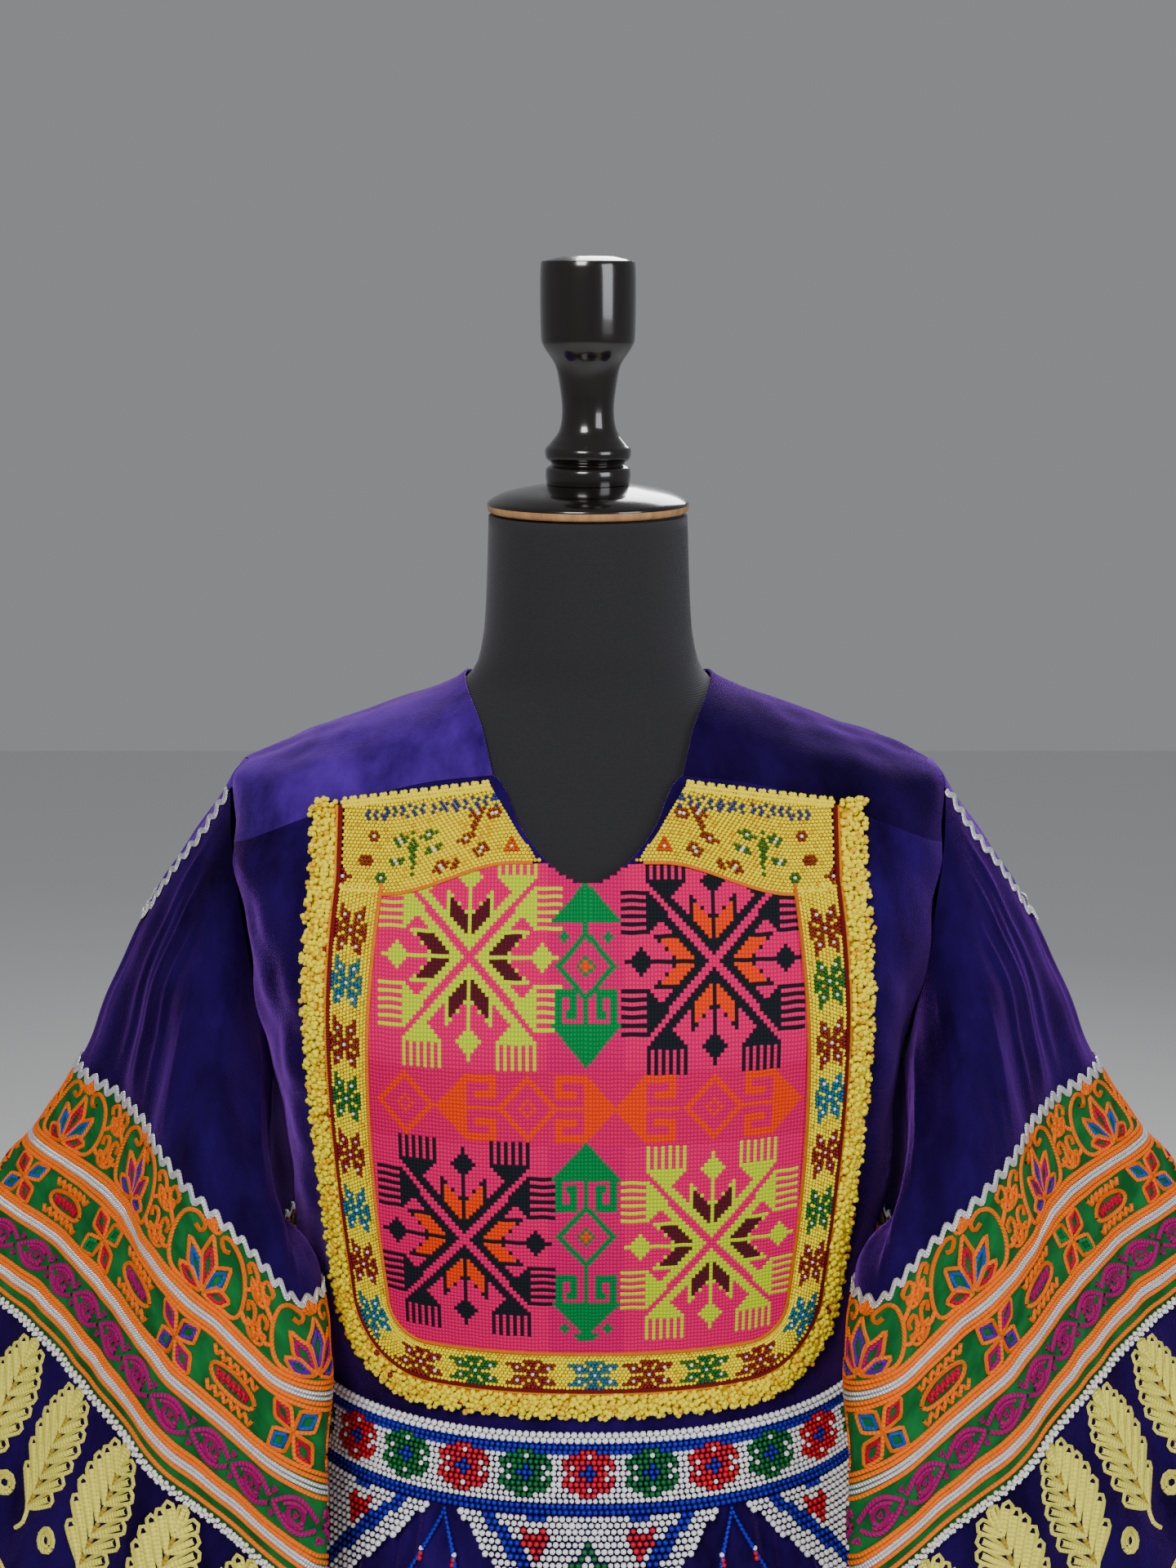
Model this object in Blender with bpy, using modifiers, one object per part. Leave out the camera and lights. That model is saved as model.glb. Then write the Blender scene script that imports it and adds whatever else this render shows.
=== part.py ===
"""A kuchi dress of velvet with a beaded chest panel, worn by a limbless dress form on a pole stand.

Metres, +Z up. The dress faces -Y and the origin is on the floor under the pole.
"""
import math

import bmesh
import bpy
import numpy as np

# Cloth walls and the gaps between pieces
VELVET = 0.0016
COTTON = 0.0015
SEAM = 0.0003
CLEAR = 0.0004
LAID = 0.0014
BELT_LIFT = 0.0011
POINT_LIFT = 0.0020
BRAID_LIFT = 0.0007
TOP_BEADS_LIFT = 0.0020
BEADWORK = 0.0022
FRINGE = 0.0042

# Heights of the dress
HEM_HEIGHT = 0.055
WAIST_HEIGHT = 0.930
NECK_FRONT_HEIGHT = 1.257
YOKE_NECK_HEIGHT = 1.311
NECK_BACK_HEIGHT = 1.304

# Half widths across the neck and shoulder
YOKE_NECK = 0.053
RIDGE_NECK = 0.072

# Armhole oval, seen from the side
ARMHOLE_HEIGHT = 1.2115
ARMHOLE_HALF_HEIGHT = 0.0915
ARMHOLE_HALF_DEPTH = 0.058
CORNER_ANGLE = 54.0
ARMHOLE_STEP = 9.0

# Chest panel, measured along the cloth from the top edge of the stitched field
FIELD_HALF_WIDTH = 0.112
FIELD_BULGE = 0.009
FIELD_LENGTH = 0.272
FIELD_CORNER = 0.024
BAND_WIDTH = 0.023
CORD_WIDTH = 0.004
FRINGE_WIDTH = 0.015
TOP_BEADS_LENGTH = 0.042
TOP_BEADS_RISE = 0.013

# Belt
BELT_TOP = 0.944
BELT_BOTTOM = 0.896
POINT_LENGTH = 0.100
POINT_HALF_WIDTH = 0.076
POINT_COUNT = 6

# Sleeve, measured down the outer ridge from the shoulder seam
CAP_LENGTH = 0.113
CAP_ANGLE = 29.0
BAND_START = 0.214
BAND_END = 0.3515
CUFF_END = 0.500
BRAID_WIDTH = 0.006
BRAID = 0.0012
ROPE_WIDTH = 0.005
ROPE = 0.0030

# Skirt
SKIRT_FOLDS = 26
COLUMNS_PER_FOLD = 4
SKIRT_COLUMNS = SKIRT_FOLDS * COLUMNS_PER_FOLD
SKIRT_SEAMS = (20, 32, 44, 60, 72, 84, 96, 112)

# Dress form and stand
FORM_BOTTOM = 0.740
NECK_TOP = 1.4470
POLE_RADIUS = 0.014
BASE_RADIUS = 0.170
BASE_HEIGHT = 0.020

BODY_ROWS = (
    # height, half width, front depth, back depth, squareness
    (0.740, 0.186, 0.142, 0.146, 2.2),
    (0.880, 0.176, 0.135, 0.126, 2.2),
    (0.930, 0.172, 0.132, 0.118, 2.2),
    (1.000, 0.174, 0.138, 0.114, 2.3),
    (1.080, 0.182, 0.147, 0.114, 2.4),
    (1.170, 0.194, 0.149, 0.114, 2.6),
    (1.225, 0.204, 0.128, 0.109, 2.8),
    (1.266, 0.2085, 0.100, 0.099, 3.0),
    (1.297, 0.205, 0.083, 0.087, 2.9),
    (1.325, 0.143, 0.072, 0.076, 2.5),
    (1.355, 0.072, 0.062, 0.066, 2.1),
    (1.380, 0.060, 0.060, 0.061, 2.0),
    (1.450, 0.0565, 0.0565, 0.0565, 2.0),
)

SKIRT_ROWS = (
    # height, half width, front depth, back depth, squareness, fold depth
    (0.055, 0.420, 0.420, 0.420, 2.00, 0.0200),
    (0.200, 0.392, 0.384, 0.384, 2.00, 0.0180),
    (0.360, 0.352, 0.334, 0.336, 2.02, 0.0150),
    (0.520, 0.302, 0.276, 0.280, 2.05, 0.0115),
    (0.660, 0.254, 0.224, 0.226, 2.10, 0.0080),
    (0.780, 0.212, 0.179, 0.176, 2.15, 0.0048),
    (0.850, 0.188, 0.152, 0.144, 2.20, 0.0028),
    (0.895, 0.176, 0.137, 0.125, 2.20, 0.0014),
    (0.930, 0.172, 0.132, 0.118, 2.20, 0.0000),
)

SLEEVE_RINGS = (
    # distance down the ridge, then angle from the ridge, x, depth, height round the front
    (0.1130, ((0, 0.2640, 0.000, 1.208), (45, 0.2400, 0.052, 1.200), (90, 0.2120, 0.092, 1.165),
              (135, 0.1820, 0.100, 1.086), (180, 0.1960, 0.000, 1.062))),
    (0.2140, ((0, 0.3075, 0.000, 1.117), (45, 0.2600, 0.064, 1.112), (90, 0.2220, 0.122, 1.090),
              (135, 0.1660, 0.140, 1.026), (180, 0.1960, 0.000, 0.998))),
    (0.3515, ((0, 0.3970, 0.000, 0.998), (45, 0.3220, 0.070, 0.974), (90, 0.2520, 0.140, 0.938),
              (135, 0.1960, 0.172, 0.880), (180, 0.2100, 0.000, 0.850))),
    (0.5000, ((0, 0.4700, 0.000, 0.868), (45, 0.3850, 0.085, 0.838), (90, 0.3000, 0.160, 0.800),
              (135, 0.2340, 0.195, 0.748), (180, 0.2640, 0.000, 0.732))),
)

SLEEVE_FOLDS = (
    # angle, angular width, depth in the upper tier, depth in the band, depth at the cuff
    (20.0, 8.0, 0.0025, 0.0010, 0.0060),
    (46.0, 9.0, 0.0050, 0.0020, 0.0080),
    (72.0, 9.0, 0.0040, 0.0010, 0.0090),
    (98.0, 10.0, 0.0065, 0.0035, 0.0100),
    (127.0, 9.0, 0.0060, 0.0080, 0.0120),
    (156.0, 9.0, 0.0040, 0.0030, 0.0080),
    (204.0, 9.0, 0.0040, 0.0030, 0.0080),
    (233.0, 9.0, 0.0060, 0.0070, 0.0120),
    (262.0, 10.0, 0.0060, 0.0030, 0.0100),
    (288.0, 9.0, 0.0045, 0.0015, 0.0090),
    (314.0, 9.0, 0.0050, 0.0020, 0.0080),
    (340.0, 8.0, 0.0025, 0.0010, 0.0060),
)
SLEEVE_COLUMNS = 40

NECK_CAP_PROFILE = (
    # radius, height
    (0.0250, 1.4632),
    (0.0460, 1.4590),
    (0.0560, 1.4545),
    (0.0575, 1.4515),
    (0.0560, 1.4480),
    (0.0500, 1.4473),
)

FINIAL_PROFILE = (
    # radius, height
    (0.0150, 1.5890),
    (0.0240, 1.5865),
    (0.0266, 1.5825),
    (0.0266, 1.5480),
    (0.0250, 1.5400),
    (0.0186, 1.5300),
    (0.0160, 1.5180),
    (0.0147, 1.5050),
    (0.0162, 1.4940),
    (0.0215, 1.4865),
    (0.0243, 1.4830),
    (0.0238, 1.4780),
    (0.0207, 1.4750),
    (0.0236, 1.4725),
    (0.0242, 1.4685),
    (0.0236, 1.4636),
)

BASE_PROFILE = (
    # radius, height
    (0.0300, BASE_HEIGHT),
    (0.1500, 0.0160),
    (BASE_RADIUS - 0.004, 0.0110),
    (BASE_RADIUS, 0.0060),
    (BASE_RADIUS, 0.0000),
)


def table_value(rows, place, column):
    """Read one column of a table at any place in its first column, on a smooth curve."""
    places = [row[0] for row in rows]
    values = [row[column] for row in rows]
    place = min(max(place, places[0]), places[-1])
    i = int(min(max(np.searchsorted(places, place) - 1, 0), len(rows) - 2))
    steps = [(values[k + 1] - values[k]) / (places[k + 1] - places[k]) for k in range(len(rows) - 1)]

    def slope(k):
        before = steps[max(k - 1, 0)]
        after = steps[min(k, len(steps) - 1)]
        if before * after <= 0:
            return 0.0
        return 2 * before * after / (before + after)

    span = places[i + 1] - places[i]
    t = (place - places[i]) / span
    rise = (2 * t**3 - 3 * t**2 + 1) * values[i] + (3 * t**2 - 2 * t**3) * values[i + 1]
    return rise + span * ((t**3 - 2 * t**2 + t) * slope(i) + (t**3 - t**2) * slope(i + 1))


def smooth_step(low, high, value):
    t = min(max((value - low) / (high - low), 0.0), 1.0)
    return t * t * (3 - 2 * t)


def signed_power(value, power):
    return math.copysign(abs(value) ** power, value)


# Rings round the body: angle 0 is the middle of the front, 90 the side at +X, 180 the back

def ring_point(rows, height, angle):
    width = table_value(rows, height, 1)
    depth = table_value(rows, height, 2 if math.cos(angle) > 0 else 3)
    power = 2 / table_value(rows, height, 4)
    x = width * signed_power(math.sin(angle), power)
    y = -depth * signed_power(math.cos(angle), power)
    return np.array((x, y, height))


def ring_level(rows, x, y, height):
    width = table_value(rows, height, 1)
    depth = table_value(rows, height, 2 if y < 0 else 3)
    square = table_value(rows, height, 4)
    return (abs(x) / width) ** square + (abs(y) / depth) ** square


def ring_normal(rows, point):
    x, y, z = point
    step = 0.0004
    slope = np.array((
        ring_level(rows, x + step, y, z) - ring_level(rows, x - step, y, z),
        ring_level(rows, x, y + step, z) - ring_level(rows, x, y - step, z),
        ring_level(rows, x, y, z + step) - ring_level(rows, x, y, z - step),
    ))
    return slope / np.linalg.norm(slope)


def angle_for_x(rows, x, height):
    ratio = min(abs(x) / table_value(rows, height, 1), 1.0)
    return math.copysign(math.asin(ratio ** (table_value(rows, height, 4) / 2)), x)


def ring_angles(rows, height, samples=181):
    angles = np.linspace(0, 2 * math.pi, samples)
    points = np.array([ring_point(rows, height, angle) for angle in angles])
    lengths = np.concatenate(((0.0,), np.cumsum(np.linalg.norm(np.diff(points, axis=0), axis=1))))
    return angles, lengths


def angle_for_length(rows, height, length):
    """Angle of the ring at a distance along it from the middle of the front, + towards +X."""
    angles, lengths = ring_angles(rows, height)
    return math.copysign(float(np.interp(abs(length), lengths, angles)), length)


# The chest chart: across from the middle, down along the cloth from the top of the field

def front_heights():
    heights = np.linspace(1.330, 0.880, 400)
    depths = np.array([table_value(BODY_ROWS, height, 2) for height in heights])
    lengths = np.concatenate(((0.0,), np.cumsum(np.hypot(np.diff(heights), np.diff(depths)))))
    start = float(np.interp(-NECK_FRONT_HEIGHT, -heights, lengths))
    return lengths - start, heights


CHART_LENGTHS, CHART_HEIGHTS = front_heights()


def chart_point(across, down, lift):
    height = float(np.interp(down, CHART_LENGTHS, CHART_HEIGHTS))
    point = ring_point(BODY_ROWS, height, angle_for_length(BODY_ROWS, height, across))
    return point + lift * ring_normal(BODY_ROWS, point)


# Making solids

def material(name, colour, roughness, metallic=0.0):
    made = bpy.data.materials.new(name)
    made.use_nodes = True
    shader = made.node_tree.nodes["Principled BSDF"]
    shader.inputs["Base Color"].default_value = (*colour, 1.0)
    shader.inputs["Roughness"].default_value = roughness
    shader.inputs["Metallic"].default_value = metallic
    return made


def add_object(name, mesh, collection, finish, smooth_angle=40.0):
    mesh.materials.append(finish)
    mesh.shade_smooth()
    mesh.set_sharp_from_angle(angle=math.radians(smooth_angle))
    made = bpy.data.objects.new(name, mesh)
    collection.objects.link(made)
    return made


def cloth_wall(name, outer, inner, collection, finish, closed=False):
    """A wall between two grids of points, which closes on itself along its rows if closed is set."""
    rows = len(outer)
    columns = len(outer[0])
    work = bmesh.new()
    skins = [[[work.verts.new(point) for point in row] for row in grid] for grid in (outer, inner)]
    spans = columns if closed else columns - 1
    for skin in skins:
        for i in range(rows - 1):
            for j in range(spans):
                k = (j + 1) % columns
                work.faces.new((skin[i][j], skin[i][k], skin[i + 1][k], skin[i + 1][j]))
    for i in (0, rows - 1):
        for j in range(spans):
            k = (j + 1) % columns
            work.faces.new((skins[0][i][j], skins[0][i][k], skins[1][i][k], skins[1][i][j]))
    if not closed:
        for j in (0, columns - 1):
            for i in range(rows - 1):
                work.faces.new((skins[0][i][j], skins[0][i + 1][j], skins[1][i + 1][j], skins[1][i][j]))
    bmesh.ops.recalc_face_normals(work, faces=work.faces)
    mesh = bpy.data.meshes.new(name)
    work.to_mesh(mesh)
    work.free()
    return add_object(name, mesh, collection, finish)


def ring_solid(name, rings, collection, finish):
    """A solid lofted through closed rings, with flat ends."""
    work = bmesh.new()
    skin = [[work.verts.new(point) for point in ring] for ring in rings]
    columns = len(rings[0])
    for i in range(len(rings) - 1):
        for j in range(columns):
            k = (j + 1) % columns
            work.faces.new((skin[i][j], skin[i][k], skin[i + 1][k], skin[i + 1][j]))
    work.faces.new(skin[0])
    work.faces.new(skin[-1])
    bmesh.ops.recalc_face_normals(work, faces=work.faces)
    mesh = bpy.data.meshes.new(name)
    work.to_mesh(mesh)
    work.free()
    return add_object(name, mesh, collection, finish)


def turned(name, profile, collection, finish, steps=24):
    """A profile from the axis down its outer side to the axis, turned round Z."""
    work = bmesh.new()
    points = [(0.0, profile[0][1]), *profile, (0.0, profile[-1][1])]
    corners = [work.verts.new((radius, 0.0, height)) for radius, height in points]
    for first, second in zip(corners, corners[1:]):
        work.edges.new((first, second))
    mesh = bpy.data.meshes.new(name)
    work.to_mesh(mesh)
    work.free()
    made = add_object(name, mesh, collection, finish)
    screw = made.modifiers.new("Turned", "SCREW")
    screw.axis = "Z"
    screw.steps = steps
    screw.render_steps = steps
    screw.use_merge_vertices = True
    screw.merge_threshold = 0.0001
    screw.use_smooth_shade = True
    return made


def pulled_in(grid, distance, ends=(), sides=()):
    """Move a grid's end rows or side columns inwards along the cloth, for a seam gap."""
    grid = np.array(grid)
    for end, inward in (("first", 1), ("last", -1)):
        at = 0 if end == "first" else -1
        if end in ends:
            step = grid[at + inward] - grid[at]
            grid[at] += distance * step / np.linalg.norm(step, axis=1, keepdims=True)
    for side, inward in (("first", 1), ("last", -1)):
        at = 0 if side == "first" else -1
        if side in sides:
            step = grid[:, at + inward] - grid[:, at]
            grid[:, at] += distance * step / np.linalg.norm(step, axis=1, keepdims=True)
    return grid


def body_wall(name, grid, lift, thickness, collection, finish):
    """A wall that follows the body rings: its inner face is lift off them."""
    normals = np.array([[ring_normal(BODY_ROWS, point) for point in row] for row in grid])
    outer = grid + (lift + thickness) * normals
    inner = grid + lift * normals
    return cloth_wall(name, outer, inner, collection, finish)


# The bodice: its outer face lies on the body rings

YOKE_SEAM_X = (0.053, 0.090, 0.127, 0.157, 0.178, 0.192)
NECK_EDGE_X = (0.0, 0.018, 0.036)
BODICE_HEIGHTS = (0.930, 0.948, 0.985, 1.035, 1.085)


def armhole_side(angle):
    """Depth and height of the armhole oval, 0 degrees at the top and 90 at the front."""
    turn = math.radians(angle)
    depth = -ARMHOLE_HALF_DEPTH * math.sin(turn)
    return depth, ARMHOLE_HEIGHT + ARMHOLE_HALF_HEIGHT * math.cos(turn)


def armhole_point(angle):
    depth, height = armhole_side(angle)
    reach = table_value(BODY_ROWS, height, 2 if depth < 0 else 3)
    square = table_value(BODY_ROWS, height, 4)
    width = table_value(BODY_ROWS, height, 1)
    return np.array((width * (1 - (abs(depth) / reach) ** square) ** (1 / square), depth, height))


def yoke_seam_height(x):
    corner = armhole_side(CORNER_ANGLE)[1]
    share = (abs(x) - YOKE_NECK) / (armhole_point(CORNER_ANGLE)[0] - YOKE_NECK)
    return YOKE_NECK_HEIGHT - (YOKE_NECK_HEIGHT - corner) * share ** 1.7


def neckline_height(x, middle):
    return middle + (YOKE_NECK_HEIGHT - middle) * (abs(x) / YOKE_NECK) ** 1.9


def on_side(angle, back):
    """The same place on the back half of a ring as on the front half."""
    return math.copysign(math.pi, angle) - angle if back else angle


def side_edge(height, back):
    """Angle of the side seam, and of the armhole's edge above the underarm."""
    lowest = ARMHOLE_HEIGHT - ARMHOLE_HALF_HEIGHT
    if height <= lowest:
        return math.pi / 2
    share = min((height - ARMHOLE_HEIGHT) / ARMHOLE_HALF_HEIGHT, 1.0)
    depth = ARMHOLE_HALF_DEPTH * math.sqrt(max(1 - share * share, 0.0))
    column = 3 if back else 2
    ratio = depth / table_value(BODY_ROWS, height, column)
    return math.acos(ratio ** (table_value(BODY_ROWS, height, 4) / 2))


def bodice_panel(name, back, collection, finish):
    middle = NECK_BACK_HEIGHT if back else NECK_FRONT_HEIGHT
    corner_x = armhole_point(CORNER_ANGLE)[0]
    corner_height = armhole_side(CORNER_ANGLE)[1]
    half = [(x, neckline_height(x, middle)) for x in NECK_EDGE_X]
    half += [(x, yoke_seam_height(x)) for x in YOKE_SEAM_X]
    half.append((corner_x, corner_height))
    tops = [(-x, height) for x, height in reversed(half[1:])] + half
    count = len(half) - 1
    edge_heights = list(BODICE_HEIGHTS)
    steps = int((180 - CORNER_ANGLE) / (2 * ARMHOLE_STEP))
    edge_heights += [armhole_side(180 - 2 * ARMHOLE_STEP * step)[1] for step in range(steps + 1)]
    grid = []
    for edge_height in edge_heights:
        rise = (edge_height - WAIST_HEIGHT) / (corner_height - WAIST_HEIGHT)
        row = []
        for j, (x, top) in enumerate(tops):
            height = WAIST_HEIGHT + (top - WAIST_HEIGHT) * rise
            if rise > 0.9999:
                angle = angle_for_x(BODY_ROWS, x, top)
                if j in (0, 2 * count):
                    angle = math.copysign(side_edge(edge_height, back), j - count)
            else:
                share = (j - count) / count
                if 0 < j < 2 * count:
                    high = angle_for_x(BODY_ROWS, x, top) / side_edge(corner_height, back)
                    share += (high - share) * rise**1.5
                angle = share * side_edge(height, back)
            row.append(ring_point(BODY_ROWS, height, on_side(angle, back)))
        grid.append(row)
    grid = pulled_in(grid, SEAM / 2, ("first", "last"), ("first", "last"))
    return body_wall(name, grid, -VELVET, VELVET, collection, finish)


def shoulder_yoke(name, side, collection, finish):
    """From the front seam over the shoulder to the back seam, neck edge to armhole."""
    steps = int(CORNER_ANGLE / ARMHOLE_STEP)
    turns = [ARMHOLE_STEP * step for step in range(steps, -steps - 1, -1)]
    corner_x = armhole_point(CORNER_ANGLE)[0]
    tip_height = armhole_side(0)[1]
    tip_x = table_value(BODY_ROWS, tip_height, 1)
    seam_xs = (*YOKE_SEAM_X, corner_x)
    grid = []
    for x_seam in seam_xs:
        share = (x_seam - YOKE_NECK) / (corner_x - YOKE_NECK)
        seam = yoke_seam_height(x_seam)
        x_ridge = RIDGE_NECK + (tip_x - RIDGE_NECK) * share
        seam_angle = angle_for_x(BODY_ROWS, x_seam, seam)
        seam_turns = [on_side(seam_angle, back) for back in (False, True)]
        seam_depth = [ring_point(BODY_ROWS, seam, turn)[1] for turn in seam_turns]
        row = []
        for turn in turns:
            back = turn < 0
            v = abs(turn) / CORNER_ANGLE
            if x_seam == corner_x:
                _, height = armhole_side(abs(turn))
                angle = side_edge(height, back)
            else:
                x = x_ridge + (x_seam - x_ridge) * v * v
                depth = seam_depth[back] * v
                height = seam if v == 1 else surface_height(x, depth)
                angle = angle_for_x(BODY_ROWS, x, height)
            row.append(ring_point(BODY_ROWS, height, on_side(angle, back)))
        grid.append(row)
    grid = pulled_in(grid, SEAM / 2, ("last",), ("first", "last"))
    normals = np.array([[ring_normal(BODY_ROWS, point) for point in row] for row in grid])
    inner = grid - VELVET * normals
    mirror = np.array((side, 1, 1))
    return cloth_wall(name, grid * mirror, inner * mirror, collection, finish)


def surface_height(x, y):
    """Height of the shoulder's surface over a place seen from above."""
    low, high = 1.266, 1.372
    for _ in range(40):
        height = (low + high) / 2
        if ring_level(BODY_ROWS, x, y, height) < 1:
            low = height
        else:
            high = height
    return high


# Chest panel

def field_half_width(down):
    return FIELD_HALF_WIDTH + FIELD_BULGE * math.sin(math.pi * min(max(down / FIELD_LENGTH, 0), 1))


def field_outline(apart, top, sides=14, corners=6, bottoms=6):
    """Points round the left side, bottom and right side, a distance out from the field."""
    corner = FIELD_CORNER + apart
    bottom = FIELD_LENGTH + apart
    turn_start = FIELD_LENGTH - FIELD_CORNER
    half = []
    for i in range(sides):
        down = top + (turn_start - top) * i / sides
        half.append((field_half_width(down) + apart, down))
    centre = field_half_width(turn_start) - FIELD_CORNER
    for i in range(corners):
        turn = math.pi / 2 * i / corners
        half.append((centre + corner * math.cos(turn), turn_start + corner * math.sin(turn)))
    for i in range(bottoms):
        half.append((centre * (1 - i / bottoms), bottom))
    return [(-a, b) for a, b in half] + [(0.0, bottom)] + list(reversed(half))


def chart_grid(rows, lift):
    return np.array([[chart_point(a, b, lift) for a, b in row] for row in rows])


def chart_wall(name, rows, lift, thickness, collection, finish):
    outer = chart_grid(rows, lift + thickness)
    return cloth_wall(name, outer, chart_grid(rows, lift), collection, finish)


def panel_field(collection, finish):
    half_shares = (0.2, 0.4, 0.6, 0.75, 0.86, 0.94, 0.985, 1.0)
    shares = [-share for share in reversed(half_shares)] + [0.0, *half_shares]
    lines = 10
    rows = []
    for i in range(lines + 1):
        row = []
        for share in shares:
            straight = field_half_width(FIELD_LENGTH - FIELD_CORNER) - FIELD_CORNER
            over = abs(share) * (straight + FIELD_CORNER) - straight
            reach = FIELD_LENGTH
            if over > 0:
                reach -= FIELD_CORNER - math.sqrt(max(FIELD_CORNER**2 - over**2, 0.0))
            down = 0.0002 + (reach - 0.0002) * i / lines
            row.append((share * (field_half_width(down) - SEAM / 2), down - SEAM / 2 * (i > 0)))
        rows.append(row)
    return chart_wall("panel_field", rows, LAID, COTTON, collection, finish)


def bead_border(collection, finish):
    inner, outer = SEAM, BAND_WIDTH
    rows = [field_outline(apart, 0.0) for apart in (inner, outer)]
    return chart_wall("bead_border", rows, LAID, BEADWORK, collection, finish)


def bead_fringe(collection, finish):
    """The picot edge outside the border, with a bump for each third picot."""
    inner = BAND_WIDTH + CORD_WIDTH / 4
    outer = BAND_WIDTH + CORD_WIDTH + FRINGE_WIDTH
    tops = -TOP_BEADS_LENGTH
    outline = [field_outline(inner + (outer - inner) * i / 2, tops, 12, 6, 6) for i in range(3)]
    for j in range(1, len(outline[2]) - 1, 2):
        a, b = outline[2][j]
        c, d = outline[1][j]
        outline[2][j] = (a + 0.25 * (c - a), b + 0.25 * (d - b))
    inner_grid = chart_grid(outline, LAID)
    outer_grid = chart_grid(outline, LAID + FRINGE)
    outer_grid[0] = 0.5 * outer_grid[0] + 0.5 * inner_grid[0]
    outer_grid[2] = 0.6 * outer_grid[2] + 0.4 * inner_grid[2]
    return cloth_wall("bead_fringe", outer_grid, inner_grid, collection, finish)


def neckline_across(down):
    """Half width of the neckline at a place down the chest chart."""
    height = float(np.interp(down, CHART_LENGTHS, CHART_HEIGHTS))
    share = (height - NECK_FRONT_HEIGHT) / (YOKE_NECK_HEIGHT - NECK_FRONT_HEIGHT)
    return YOKE_NECK * min(max(share, 0.0), 1.0) ** (1 / 1.9)


def bead_top(name, side, collection, finish):
    """The beaded piece beside the neckline, above the field."""
    columns, lines = 8, 5
    rows = []
    for i in range(lines + 1):
        row = []
        for j in range(columns + 1):
            rise = TOP_BEADS_LENGTH + TOP_BEADS_RISE * (1 - j / columns)
            down = -rise * (1 - i / lines) - SEAM * (i == lines)
            near = neckline_across(down) + 0.003
            far = field_half_width(down) + BAND_WIDTH - SEAM
            row.append((side * (near + (far - near) * j / columns), down))
        rows.append(row)
    return chart_wall(name, rows, TOP_BEADS_LIFT, BEADWORK, collection, finish)


# Skirt and belt

def fold_share(angle):
    """How far out the skirt's folds stand at an angle, from -1 to 1."""
    uneven = 0.78 + 0.14 * math.cos(4 * angle) + 0.08 * math.cos(10 * angle)
    return uneven * math.cos(SKIRT_FOLDS * angle)


def skirt_point(height, angle, lift=0.0):
    point = ring_point(SKIRT_ROWS, height, angle)
    normal = ring_normal(SKIRT_ROWS, point)
    return point + (lift + table_value(SKIRT_ROWS, height, 5) * fold_share(angle)) * normal


def skirt_gore(name, first, last, collection, finish):
    """One gore of the skirt, between two of its seams, gathered into the waist seam."""
    heights = (HEM_HEIGHT, 0.230, 0.410, 0.580, 0.730, 0.832, 0.888, WAIST_HEIGHT)
    angles = [2 * math.pi * column / SKIRT_COLUMNS - math.pi / 2 for column in range(first, last + 1)]
    outer, inner = [], []
    for height in heights:
        outer.append([skirt_point(height, angle) for angle in angles])
        inner.append([skirt_point(height, angle, -VELVET) for angle in angles])
    sides = ("first", "last")
    outer = pulled_in(outer, SEAM / 2, ("last",), sides)
    inner = pulled_in(inner, SEAM / 2, ("last",), sides)
    return cloth_wall(name, outer, inner, collection, finish)


def belt_place(height, angle, lift):
    """A place on the belt, which lies on the outer edges of the skirt's folds."""
    rows = SKIRT_ROWS if height < WAIST_HEIGHT else BODY_ROWS
    point = ring_point(rows, height, angle)
    deep = table_value(SKIRT_ROWS, height, 5)
    return point + (lift + deep) * ring_normal(rows, point)


def belt_band(collection, finish):
    columns = 48
    heights = (BELT_BOTTOM, 0.920, BELT_TOP)
    angles = [2 * math.pi * j / columns for j in range(columns)]
    inner = [[belt_place(height, angle, BELT_LIFT) for angle in angles] for height in heights]
    outer = [[belt_place(height, angle, BELT_LIFT + BEADWORK) for angle in angles] for height in heights]
    return cloth_wall("belt_band", outer, inner, collection, finish, closed=True)


def belt_triangle(name, number, collection, finish):
    """One of the beaded points that hang from the belt's lower edge."""
    columns, lines = 5, 4
    grids = {POINT_LIFT: [], POINT_LIFT + BEADWORK: []}
    for i in range(lines + 1):
        down = i / lines
        height = BELT_BOTTOM - SEAM - POINT_LENGTH * down
        angles, lengths = ring_angles(SKIRT_ROWS, height)
        middle = lengths[-1] * number / POINT_COUNT
        half = 0.003 + (POINT_HALF_WIDTH - 0.003) * (1 - down)
        for lift, grid in grids.items():
            row = []
            for j in range(columns + 1):
                place = (middle + half * (2 * j / columns - 1)) % lengths[-1]
                row.append(belt_place(height, float(np.interp(place, lengths, angles)), lift))
            grid.append(row)
    inner, outer = grids.values()
    return cloth_wall(name, outer, inner, collection, finish)


# Sleeves: angle 0 is the outer ridge, 90 the front, 180 the underside

def section_point(points, angle):
    """A place on one section of the sleeve, whose back mirrors its front."""
    (_, x_front, depth_front, z_front), (_, x_under, depth_under, z_under) = points[1], points[-2]
    rows = [(-45, x_front, -depth_front, z_front), *points, (225, x_under, -depth_under, z_under)]
    x, depth, height = (table_value(rows, abs(angle), column) for column in (1, 2, 3))
    return x, -math.copysign(depth, angle), height


def sleeve_rows(angle):
    """The places down the sleeve that its surface goes through at one angle round it."""
    angle = (angle + 180) % 360 - 180
    apart = CLEAR + VELVET * max(math.cos(math.radians(angle)), 0.0)
    seam = armhole_point(angle) + np.array((apart, 0.0, 0.0))
    sections = [(distance, *section_point(points, angle)) for distance, points in SLEEVE_RINGS]
    return [(0.0, *seam), *sections]


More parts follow.
